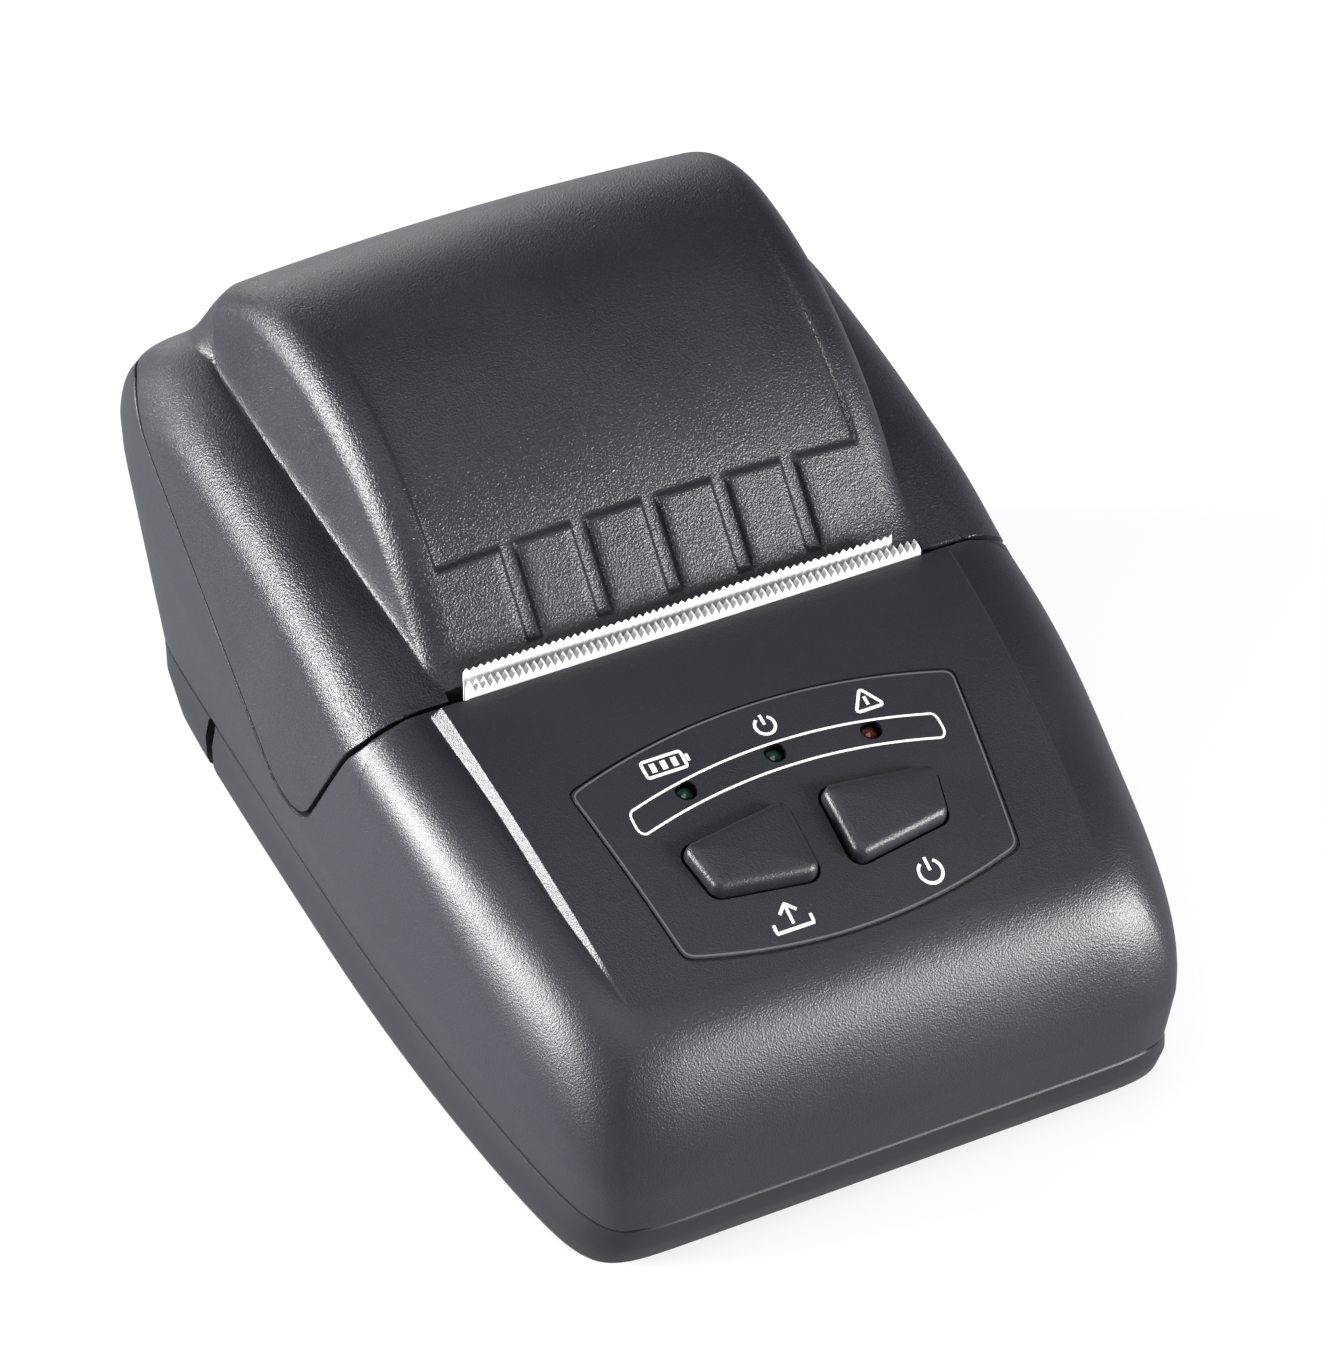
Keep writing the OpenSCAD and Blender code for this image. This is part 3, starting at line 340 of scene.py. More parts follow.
@dataclass(frozen=True)
class BodyForm:
    """The printer's outer form: plan outline, panel, shoulders, hump and seam, in millimetres."""

    length: float = 138.0
    width: float = 89.6
    wall: float = 2.2
    part_z: float = 9.5
    seam_gap: float = 0.55
    front_taper: float = 5.4
    rear_taper: float = 0.6
    front_corner: float = 17.0
    rear_corner: float = 18.0
    rear_lean: float = 8.5
    slot_y: float = -13.0
    slot_z: float = 48.4
    panel_fall: float = 0.13
    panel_bend: float = 0.0033
    panel_w: float = 68.0
    panel_taper: float = 3.8
    panel_rise: float = 2.0
    panel_sink: float = 1.1
    bevel_w: float = 1.05
    edge_r: float = 7.5
    nose_h: float = 9.0
    nose_v: float = 14.0
    tail_h: float = 16.0
    tail_v: float = 16.0
    hump_back: float = 34.0
    hump_z: float = 73.2
    hump_toe: float = 3.0
    hump_rear: float = 31.0
    hump_w: float = 57.0
    hump_flare: float = 0.03
    hump_edge: float = 4.2
    hump_lean: float = 0.12
    hump_crown: float = 1.2
    hump_fillet: float = 3.0
    hump_base: float = 35.0
    front_share: float = 0.8
    rear_share: float = 0.94
    shoulder_rise: float = 0.26
    shoulder_bend: float = 0.0021
    lobe_y: float = 8.6
    lobe_z: float = 14.4
    lobe_r: float = 9.5
    seam_z: float = 49.0
    side_lean: float = -0.1
    under: float = 0.7
    slot_half: float = 32.0
    slot_lip: float = 0.9
    tail_run: float = 32.0
    crease_up: float = 7.0
    crease_bend: float = 0.0044
    panel_run: float = 50.0
    panel_swell: float = 1.6
    rise_dip: float = 0.3
    rise_span: float = 18.0
    rise_hold: float = 28.0
    sink_span: float = 16.0
    bevel_soft: float = 0.07
    seam_drop: float = 3.2
    hinge_half: float = 29.5
    hinge_y: float = 60.54
    hinge_z: float = 46.1
    bend_steps: int = 28

    @property
    def half_l(self) -> float:
        """Half the body's length."""
        return self.length / 2

    @property
    def half_w(self) -> float:
        """Half the body's width."""
        return self.width / 2

    @property
    def hump_y(self) -> float:
        """Place of the hump's crest along the body."""
        return self.half_l - self.hump_back

    @property
    def hump_front(self) -> float:
        """Reach of the hump's front curve."""
        return self.hump_y - self.slot_y - self.hump_toe

    @property
    def lid_y(self) -> float:
        """Front edge of the lid beside the slot."""
        return self.slot_y + 1.1

    @property
    def slot_front(self) -> float:
        """Front edge of the paper slot."""
        return self.slot_y - 1.0

    @property
    def slot_back(self) -> float:
        """Rear edge of the paper slot."""
        return self.slot_y + 2.6

    def half_at(self, y: Array) -> Array:
        """Half width at y: the widest less a taper that grows with the square of y."""
        taper = np.where(y < 0, self.front_taper, self.rear_taper)
        return self.half_w - taper * (y / self.half_l) ** 2

    def unit_x(self, b: Array) -> Array:
        """Superellipse of the plan: (1 - |b|^n)^(1/n), with n for the front or rear corners."""
        n = np.where(b < 0, self.front_corner, self.rear_corner)
        return np.maximum(0.0, 1.0 - np.abs(b) ** n) ** (1.0 / n)

    def ring(self, r0: Array, r1: Array, inset: Array) -> tuple[Array, Array]:
        """Plan point of ring place (r0, r1), drawn in by an inset."""
        return r0 * (self.half_at(r1 * self.half_l) - inset), r1 * (self.half_l - inset)

    def toward_nose(self, y: Array) -> Array:
        """0 at the slot, 1 at the nose."""
        return ease((self.slot_y - y) / (self.half_l + self.slot_y))

    def toward_tail(self, y: Array) -> Array:
        """0 before the tail's run, 1 at the rear end."""
        return ease((y - self.half_l + self.tail_run) / self.tail_run)

    def crease_z(self, y: Array) -> Array:
        """Height of the side crease, rising with the square of y behind the middle."""
        return self.part_z + self.crease_up + self.crease_bend * np.maximum(0.0, y) ** 2

    def panel_z(self, y: Array) -> Array:
        """Height of the sloping panel: a parabola that falls toward the nose."""
        u = self.slot_y - np.asarray(y, float)
        return self.slot_z - self.panel_fall * u - self.panel_bend * u * u

    def panel_half(self, y: Array) -> Array:
        """Half width of the raised panel: a straight taper with a slight swell in the middle."""
        t = clamp01((self.slot_y - y) / self.panel_run)
        return self.panel_w / 2 - self.panel_taper * t + self.panel_swell * t * (1.0 - t)

    def bevel_at(self, y: Array) -> Array:
        """Width of the bevel beside the panel, which narrows as the panel's edge gets lower."""
        return self.bevel_w * (0.25 + 0.75 * self.rise_at(y) / self.panel_rise)

    def rise_at(self, y: Array) -> Array:
        """How far the panel stands above the shoulders: most at the slot, nothing just before the nose."""
        u = self.slot_y - y
        dip = 1.0 - self.rise_dip * ease(u / self.rise_span)
        return self.panel_rise * dip * (1.0 - ease((u - self.rise_hold) / self.rise_span))

    def shoulder_z(self, y: Array) -> Array:
        """Height of the shoulders: under the panel in front of the slot, a falling-off rise behind it."""
        v = y - self.slot_y
        behind = self.slot_z - self.panel_rise + self.shoulder_rise * v - self.shoulder_bend * v * v
        behind = behind + self.panel_sink * ease(v / self.sink_span)
        return np.where(v < 0, self.panel_z(y) - self.rise_at(y), behind)

    def hump_at(self, y: Array) -> Array:
        """Height of the hump's roof: half ellipses before and behind the crest, run out along tangents."""
        t = np.where(y < self.hump_y, (self.hump_y - y) / self.hump_front, (y - self.hump_y) / self.hump_rear)
        t0 = np.where(y < self.hump_y, self.front_share, self.rear_share)
        root = np.sqrt(1.0 - t0 * t0)
        curve = np.sqrt(np.maximum(0.0, 1.0 - t * t))
        line = root - (t - t0) * t0 / root
        return self.hump_base + (self.hump_z - self.hump_base) * np.where(t < t0, curve, line)

    def flat_half(self, y: Array) -> Array:
        """Half width of the hump's roof before its rounded edge."""
        return self.hump_w / 2 + self.hump_flare * (y - self.slot_y)

    def edge_drop(self, u: Array) -> Array:
        """Fall past the roof's edge: a circle until it meets the leaning side, then that side's line."""
        lean = math.atan(self.hump_lean)
        knee = self.hump_edge * math.cos(lean)
        bow = self.hump_edge - np.sqrt(np.maximum(0.0, self.hump_edge**2 - np.minimum(u, knee) ** 2))
        line = self.hump_edge * (1.0 - math.sin(lean)) + (u - knee) / self.hump_lean
        return np.where(u <= 0, 0.0, np.where(u < knee, bow, line))

    def lid_top(self, x: Array, y: Array) -> Array:
        """Height of the lid: the hump with its crown, rounded into the shoulders."""
        e = self.flat_half(y)
        hump = self.hump_at(y) - self.hump_crown * (x / e) ** 2 - self.edge_drop(np.abs(x) - e)
        return blend_max(self.shoulder_z(y), hump, self.hump_fillet)

    def panel_top(self, x: Array, y: Array) -> Array:
        """Height of the front: the panel, its softened bevel and the shoulders."""
        t = (np.abs(x) - self.panel_half(y)) / self.bevel_at(y)
        rear = (y - self.slot_y + self.slot_lip) / self.bevel_w
        t = np.where(np.abs(x) > self.slot_half - 0.2, np.maximum(t, rear), t)
        ramp = blend_max(t, np.zeros_like(t), self.bevel_soft)
        ramp = -blend_max(-ramp, -np.ones_like(t), self.bevel_soft)
        front = self.panel_z(y) - self.rise_at(y) * clamp01(ramp)
        slot = (y > self.slot_y) & (y < 0) & (np.abs(x) < self.slot_half)
        return np.where((y <= self.slot_y) | slot, front, self.shoulder_z(y))

    def seam_line(self, grow: float) -> tuple[Array, Array]:
        """The lid's lower edge from the side.

        Straight runs from the slot down to the lobe's tip and up to the rear, with the tip and the upper
        corner rounded by the lobe's radius.

        Args:
            grow: distance by which the line is moved away from the lid.

        Returns:
            The line's y and z values, with y rising.
        """
        knots = np.array([[self.lid_y, 62.0], [self.lid_y, self.slot_z - self.seam_drop], [self.lobe_y, self.lobe_z],
                          [self.half_l - 11.0, self.seam_z - 1.4], [self.half_l - 8.5, self.seam_z],
                          [self.half_l + 20.0, self.seam_z]])
        small = 0.02
        radii = [small, self.lobe_r, self.lobe_r, small, small, small]
        per_corner = 24
        path = rounded_outline(knots, radii, per_corner)[per_corner:-per_corner]
        run = np.gradient(path, axis=0)
        run /= np.linalg.norm(run, axis=1, keepdims=True)
        path = path + grow * np.stack([run[:, 1], -run[:, 0]], axis=1)
        rising = np.maximum.accumulate(path[:, 0]) + np.arange(len(path)) * 1e-7
        return rising, path[:, 1]

    def above_seam(self, p: Array, grow: float) -> Array:
        """Signed height of points over the seam line; points in front of the lid count as below."""
        y, z = self.seam_line(grow)
        height = p[..., 2] - np.interp(p[..., 1], y, z)
        return np.where(p[..., 1] < y[0], np.minimum(height, -1.0), height)

    def side_paths(self, r0: Array, r1: Array, top: TopField) -> Array:
        """Lines from the top surface over the rounded edge and down to the parting line.

        A quarter ellipse in plan inset and in height makes the edge; straight runs go on to the crease and
        to the parting line, where the plan is drawn in.

        Args:
            r0: ring places across.
            r1: ring places along.
            top: height of the top surface.

        Returns:
            Array of shape (places, samples, 3).
        """
        y0 = r1 * self.half_l
        lean, _, _, down = self.edges(y0)
        start = self.edge_start(r0, r1)
        ex, ey = self.ring(r0, r1, lean)
        turn = np.linspace(np.pi / 2, 0.0, self.bend_steps)[None, :]
        g = 1.0 - np.cos(turn)
        x = ex[:, None] + (start[:, :1] - ex[:, None]) * g
        y = ey[:, None] + (start[:, 1:] - ey[:, None]) * g
        bend = np.stack([x, y, top(x, y) - down[:, None] * (1.0 - np.sin(turn))], axis=2)
        cx, cy = self.ring(r0, r1, np.zeros_like(r0))
        crease = np.stack([cx, cy, np.minimum(self.crease_z(y0), bend[:, -1, 2] - 1.0)], axis=1)
        px, py = self.ring(r0, r1, np.full_like(r0, self.under))
        low = np.stack([px, py - self.rear_lean * np.maximum(0.0, r1) ** 2, np.full_like(px, self.part_z)], axis=1)
        t = np.linspace(0, 1, 41)[None, 1:, None]
        wall = bend[:, -1:] + (crease - bend[:, -1])[:, None] * t
        skirt = crease[:, None] + (low - crease)[:, None] * t
        return self.soften(np.concatenate([bend, wall, skirt], axis=1))

    @staticmethod
    def soften(p: Array, passes: int = 6) -> Array:
        """Rounds the creases of polylines by averaging each inner point with its neighbours."""
        for _ in range(passes):
            p = np.concatenate([p[:, :1], (p[:, :-2] + 2 * p[:, 1:-1] + p[:, 2:]) / 4, p[:, -1:]], axis=1)
        return p

    def edges(self, y0: Array) -> tuple[Array, Array, Array, Array]:
        """Lean of the side and the rounded edge's reach across, along and down at ring height y0."""
        nose, tail = self.toward_nose(y0), self.toward_tail(y0)
        across = np.full_like(nose, self.edge_r)
        lengthways = self.edge_r + (self.nose_h - self.edge_r) * nose + (self.tail_h - self.edge_r) * tail
        down = self.edge_r + (self.nose_v - self.edge_r) * nose + (self.tail_v - self.edge_r) * tail
        return self.side_lean * (1.0 - nose), across, lengthways, down

    def edge_start(self, r0: Array, r1: Array) -> Array:
        """Plan points, shape (places, 2), where the flat top ends and the rounded edge begins."""
        y0 = r1 * self.half_l
        lean, across, lengthways, _ = self.edges(y0)
        return np.stack([r0 * (self.half_at(y0) - lean - across), r1 * (self.half_l - lean - lengthways)], axis=1)

    def corner(self, rear: bool) -> float:
        """Ring place at which a corner is half turned."""
        return 0.5 ** (1.0 / (self.rear_corner if rear else self.front_corner))

    def line_y(self, rear: bool) -> float:
        """Place along the body of the last full cross section before the nose or the rear edge."""
        b = np.array([self.corner(rear) * (1.0 if rear else -1.0)])
        return float(self.edge_start(self.unit_x(b), b)[0, 1])

    def rows_at(self, y: Array) -> tuple[Array, Array]:
        """Ring places whose flat top lies at given places along the body.

        Args:
            y: places along the body, between the two ends of the full cross sections.

        Returns:
            r0 and r1 of each row.
        """
        b = np.linspace(-self.corner(False), self.corner(True), 2001)
        r1 = np.interp(y, self.edge_start(self.unit_x(b), b)[:, 1], b)
        return self.unit_x(r1), r1

    def end_places(self, x: Array, flat: float, rear: bool) -> tuple[Array, Array]:
        """Ring places for lines that run over the nose or the rear edge.

        Args:
            x: where each line starts on the last cross section.
            flat: half width of that section's flat top.
            rear: True for the rear end.

        Returns:
            r0 and r1 of each line.
        """
        n = self.rear_corner if rear else self.front_corner
        r0 = np.clip(x / flat, -1.0, 1.0) * self.corner(rear)
        return r0, (1.0 - np.abs(r0) ** n) ** (1.0 / n) * (1.0 if rear else -1.0)

    def end_paths(self, x: Array, y: float, flat: float, rear: bool, top: TopField) -> Array:
        """Lines from the last cross section over the nose or the rear edge to the parting line.

        Args:
            x: where each line starts.
            y: place of the last cross section.
            flat: half width of that section's flat top.
            rear: True for the rear end.
            top: height of the top surface.

        Returns:
            Array of shape (lines, samples, 3).
        """
        r0, r1 = self.end_places(x, flat, rear)
        start = np.stack([x, np.full_like(x, y)], axis=1)
        edge = self.edge_start(r0, r1)
        t = np.linspace(0, 1, 8)[None, :-1, None]
        lead = start[:, None] + (edge - start)[:, None] * t
        lead = np.concatenate([lead, top(lead[..., 0], lead[..., 1])[..., None]], axis=2)
        return np.concatenate([lead, self.side_paths(r0, r1, top)], axis=1)


FORM = BodyForm()


def at_height(loop: Array, z: float) -> Array:
    """Plan points lifted to one height."""
    return np.concatenate([loop, np.full((len(loop), 1), z)], axis=1)


def box_cutter(name: str, low: Sequence[float], high: Sequence[float]) -> bpy.types.Object:
    """A closed box between two corners, for cutting."""
    a, b = np.array(low, float), np.array(high, float)
    corners = np.array([[0, 0], [1, 0], [1, 1], [0, 1]], float) * (b - a)[:2] + a[:2]
    return prism_cutter(name, at_height(corners, a[2]), at_height(corners, b[2]))


def slot_cutter(form: BodyForm) -> bpy.types.Object:
    """The room of the paper slot, from inside the body to above it."""
    return box_cutter("slot_room", (-form.slot_half, form.slot_front, 30.0), (form.slot_half, form.slot_back, 90.0))


def hinge_cutter(form: BodyForm, top: float) -> bpy.types.Object:
    """The room of the hinge barrel, up to a given height and out past the rear."""
    return box_cutter("hinge_room", (-form.hinge_half, form.hinge_y, form.hinge_z), (form.hinge_half, 80.0, top))


def prism_cutter(name: str, low: Array, high: Array) -> bpy.types.Object:
    """A closed prism between two loops of points, with flat fans at both ends, for cutting."""
    work = Patchwork()
    centre_low = np.repeat(low.mean(axis=0)[None], len(low), axis=0)
    centre_high = np.repeat(high.mean(axis=0)[None], len(high), axis=0)
    work.grid(np.stack([centre_low, low, high, centre_high]), wrap_columns=True)
    return work.mesh(name)


def circle(radius: float, count: int = 40) -> Array:
    """Points of a circle round the origin."""
    a = np.linspace(0, 2 * np.pi, count, endpoint=False)
    return radius * np.stack([np.cos(a), np.sin(a)], axis=1)


def post_cutter(name: str, x: float, y: float, radius: float, z0: float, z1: float) -> bpy.types.Object:
    """An upright cylinder for cutting."""
    loop = circle(radius) + np.array([x, y])
    return prism_cutter(name, at_height(loop, z0), at_height(loop, z1))


def rear_cutter(name: str, loop: Array, y0: float, y1: float) -> bpy.types.Object:
    """A prism along y whose section is a loop of (x, z) points, for cutting."""
    ends = [np.stack([loop[:, 0], np.full(len(loop), y), loop[:, 1]], axis=1) for y in (y0, y1)]
    return prism_cutter(name, *ends)


@dataclass
class Piece:
    """A visible piece that stands for solids of the frame."""

    name: str
    body: Body
    slot: str
    stands_for: tuple[str, ...] = ()
    finish: str = ""

    def place(self, shape: bpy.types.Object, kit: "FinishKit") -> bpy.types.Object:
        """Gives a finished shape its finish, its body and the solids it stands for.

        Args:
            shape: the mesh object.
            kit: the finishes.

        Returns:
            The same object.
        """
        shape.name = self.name
        shape.data.name = self.name
        shape.data.materials.clear()
        shape.data.materials.append(kit.material(self.finish or self.slot))
        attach(shape, self.body.value)
        if self.stands_for:
            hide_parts(*self.stands_for)
        LOG.info("built %s: %d faces", self.name, len(shape.data.polygons))
        return shape


@dataclass
class Controls:
    """The tilted plane of the keys and lamps, and the outlines drawn on it."""

    form: BodyForm
    key_y: float = -46.0
    key_in_x: float = 2.2
    key_out_x: float = 16.9
    key_low_x: float = 15.4
    key_in_l: float = 10.9
    key_out_l: float = 7.1
    key_r: float = 1.5
    key_gap: float = 0.4
    lamp_x: float = 12.3
    lamp_y: float = -35.6
    lamp_mid_y: float = -34.55
    lamp_hole: float = 1.4
    hole_reach: float = 9.0
    label_w: float = 51.0
    label_low_w: float = 44.0
    label_top: float = -27.1
    label_low: float = -58.1
    label_side_top: float = -31.2
    label_side_low: float = -55.0
    label_r: float = 2.4

    @property
    def tilt(self) -> float:
        """Slope of the panel under the keys, in radians."""
        u = self.form.slot_y - self.key_y
        return math.atan(self.form.panel_fall + 2.0 * self.form.panel_bend * u)

    def on_plane(self, x: Array, v: Array, w: Array) -> Array:
        """Points of the body from places on the tilted plane and heights over it."""
        c, s = math.cos(self.tilt), math.sin(self.tilt)
        z0 = float(self.form.panel_z(self.key_y))
        return np.stack(np.broadcast_arrays(x, self.key_y + v * c - w * s, z0 + v * s + w * c), axis=-1)

    def key_corners(self, grow: float) -> Array:
        """Corners of the right key's outline, moved outward by grow."""
        p = np.array([[self.key_out_x, self.key_out_l / 2], [self.key_in_x, self.key_in_l / 2],
                      [self.key_in_x, -self.key_in_l / 2], [self.key_low_x, -self.key_out_l / 2]])
        _, _, half, bisector = corner_frames(p)
        return p - bisector * (grow / np.sin(half))[:, None]

    def key_loop(self, grow: float, per_corner: int = 10) -> Array:
        """Rounded outline of the right key, moved outward by grow."""
        radius = max(self.key_r + grow, 0.25)
        return rounded_outline(self.key_corners(grow), [radius] * 4, per_corner)

    def label_loop(self, grow: float, count: int = 260) -> Array:
        """Outline of the label: parabolas above and below, straight sides, rounded corners.

        Args:
            grow: distance by which the outline is moved outward.
            count: number of points.

        Returns:
            Array of shape (count, 2).
        """
        a, b = self.label_w / 2 + grow, self.label_low_w / 2 + grow
        t = np.linspace(-1, 1, 81)
        top = np.stack([a * t, self.label_top + grow - (self.label_top - self.label_side_top) * t * t], axis=1)
        low = np.stack([b * t, self.label_low - grow + (self.label_side_low - self.label_low) * t * t], axis=1)
        loop = resample_loop(np.concatenate([top, low[::-1]]), 1200)
        width = int(round(self.label_r / (np.linalg.norm(np.diff(loop, axis=0), axis=1).mean()) / 2))
        kernel = np.hanning(2 * width + 3)[1:-1]
        kernel /= kernel.sum()
        span = len(kernel) // 2
        for _ in range(2):
            ring = np.concatenate([loop[-span:], loop, loop[:span]])
            loop = np.stack([np.convolve(ring[:, i], kernel, "valid") for i in range(2)], axis=1)
        return resample_loop(loop, count)

    def hole(self, name: str, loop: Array) -> bpy.types.Object:
        """A prism right through the panel, square to the tilted plane, for cutting."""
        ends = [self.on_plane(loop[:, 0], loop[:, 1], np.array(w)) for w in (-self.hole_reach, self.hole_reach)]
        return prism_cutter(name, *ends)

    def openings(self) -> list[bpy.types.Object]:
        """Cutters for the two keys and the three lamps.

        Returns:
            Five closed prisms.
        """
        key = self.key_loop(self.key_gap)
        made = [self.hole("power_hole", key), self.hole("feed_hole", key * np.array([-1.0, 1.0]))]
        spots = ((-self.lamp_x, self.lamp_y), (0.0, self.lamp_mid_y), (self.lamp_x, self.lamp_y))
        for i, (x, y) in enumerate(spots):
            at = np.array([x, (y - self.key_y) / math.cos(self.tilt)])
            made.append(self.hole(f"lamp_hole_{i}", circle(self.lamp_hole, 32) + at))
        return made

    def sheet(self, loop: Array, lift: float, rings: Sequence[float]) -> Array:
        """A polar grid inside an outline that lies on the panel at a given lift."""
        centre = loop.mean(axis=0)
        xy = centre + (loop - centre)[None] * np.array(rings)[:, None, None]
        return np.concatenate([xy, self.form.panel_z(xy[..., 1:]) + lift], axis=2)


@dataclass
class LidShell(Piece):
    """The paper lid: domed hump with grip pads, shoulders, side lobes and rounded rear."""

    form: BodyForm = FORM
    field_half: float = 28.3
    field_deep: float = 0.7
    field_front: float = -0.6
    field_rear: float = 31.0
    groove_w: float = 2.1
    groove_front: float = -8.4
    pads: int = 6
    soft: float = 0.7
    side_count: int = 46
    hump_count: int = 66
    rim: float = 0.28

    def carved(self, x: Array, y: Array) -> Array:
        """Depth of the recessed field and of the grooves between the grip pads.

        The field is a soft-edged band that fades toward the crest; each groove is a narrow soft-edged band that
        runs into it from the front.

        Args:
            x: places across.
            y: places along.

        Returns:
            Depth at each place, in millimetres.
        """
        half = self.soft / 2
        inside = ease((self.field_half + half - np.abs(x)) / self.soft)
        fade = 1.0 - ease((y - self.field_front) / (self.field_rear - self.field_front))
        fieldwork = inside * ease((y - self.field_front + half) / self.soft) * fade
        pitch = 2.0 * self.field_half / self.pads
        off = np.abs((x + pitch / 2) % pitch - pitch / 2)
        groove = ease((self.groove_w / 2 + half - off) / self.soft) * (np.abs(x) < self.field_half - pitch / 2)
        groove = groove * ease((y - self.groove_front + half) / self.soft) * (y < self.field_front + 1.0)
        return self.field_deep * np.maximum(fieldwork, groove)

    def columns(self) -> Array:
        """Places across the middle of the lid, close together beside each edge of a groove or of the field."""
        pitch = 2.0 * self.field_half / self.pads
        g, near = self.groove_w / 2, 0.4
        edges = [g, pitch - g, pitch + g, 2 * pitch - g, 2 * pitch + g, self.field_half]
        knots, counts = [0.0], []
        for edge, gap in zip(edges, (1, 6, 1, 6, 1, 6)):
            knots += [edge - near, edge + near]
            counts += [gap, 4]
        right = spread(knots, counts)
        return np.concatenate([-right[:0:-1], right])

    def sheet(self) -> bpy.types.Object:
        """The outer skin as two grids: cross sections from the slot to the tail, and lines over the rear edge.

        A cross section runs over the carved roof, down the hump's side, over the shoulder and its rounded edge
        and stops at the seam line.

        Returns:
            The open sheet.
        """
        f = self.form
        tail = f.line_y(True)
        y = spread([f.lid_y + 0.2, -8.9, -7.9, -1.1, -0.1, 8.0, tail], [7, 5, 9, 5, 12, 48])
        x = self.columns()
        grid_x, grid_y = np.meshgrid(x, y)
        z = f.lid_top(grid_x, grid_y)
        slope = (f.lid_top(grid_x, grid_y + 0.05) - f.lid_top(grid_x, grid_y - 0.05)) / 0.1
        depth = self.carved(grid_x, grid_y) / np.sqrt(1.0 + slope**2)
        roof = np.stack([grid_x, grid_y + slope * depth, z - depth], axis=2)
        r0, r1 = f.rows_at(y)
        flat = f.edge_start(r0, r1)[:, 0]
        run = x[-1] + (flat[:, None] - x[-1]) * np.linspace(0, 1, 420)[None, :]
        rows = np.broadcast_to(y[:, None], run.shape)
        hump = along(np.stack([run, rows, f.lid_top(run, rows)], axis=2), self.hump_count)
        side = f.side_paths(r0, r1, f.lid_top)
        side = along(cut_rows(side, f.above_seam(side, 0.0), 0.6), self.side_count)
        half = np.concatenate([hump[:, 1:], side[:, 1:]], axis=1)
        left = half[:, ::-1] * MIRROR
        work = Patchwork()
        work.grid(np.concatenate([left, roof, half], axis=1))
        start = np.concatenate([-hump[-1, :0:-1, 0], x, hump[-1, 1:, 0]])
        end = f.end_paths(start, tail, float(flat[-1]), True, f.lid_top)
        end = along(cut_rows(end, f.above_seam(end, 0.0), 0.6), self.side_count)
        work.grid(end)
        return work.mesh(self.name, upward=True)

    def build(self, kit: "FinishKit") -> None:
        """Makes the lid with its wall, slot edge and hinge opening."""
        f = self.form
        shell = self.sheet()
        thicken(shell, f.wall, self.rim)
        self.place(carve(shell, [slot_cutter(f), hinge_cutter(f, 51.9)]), kit)


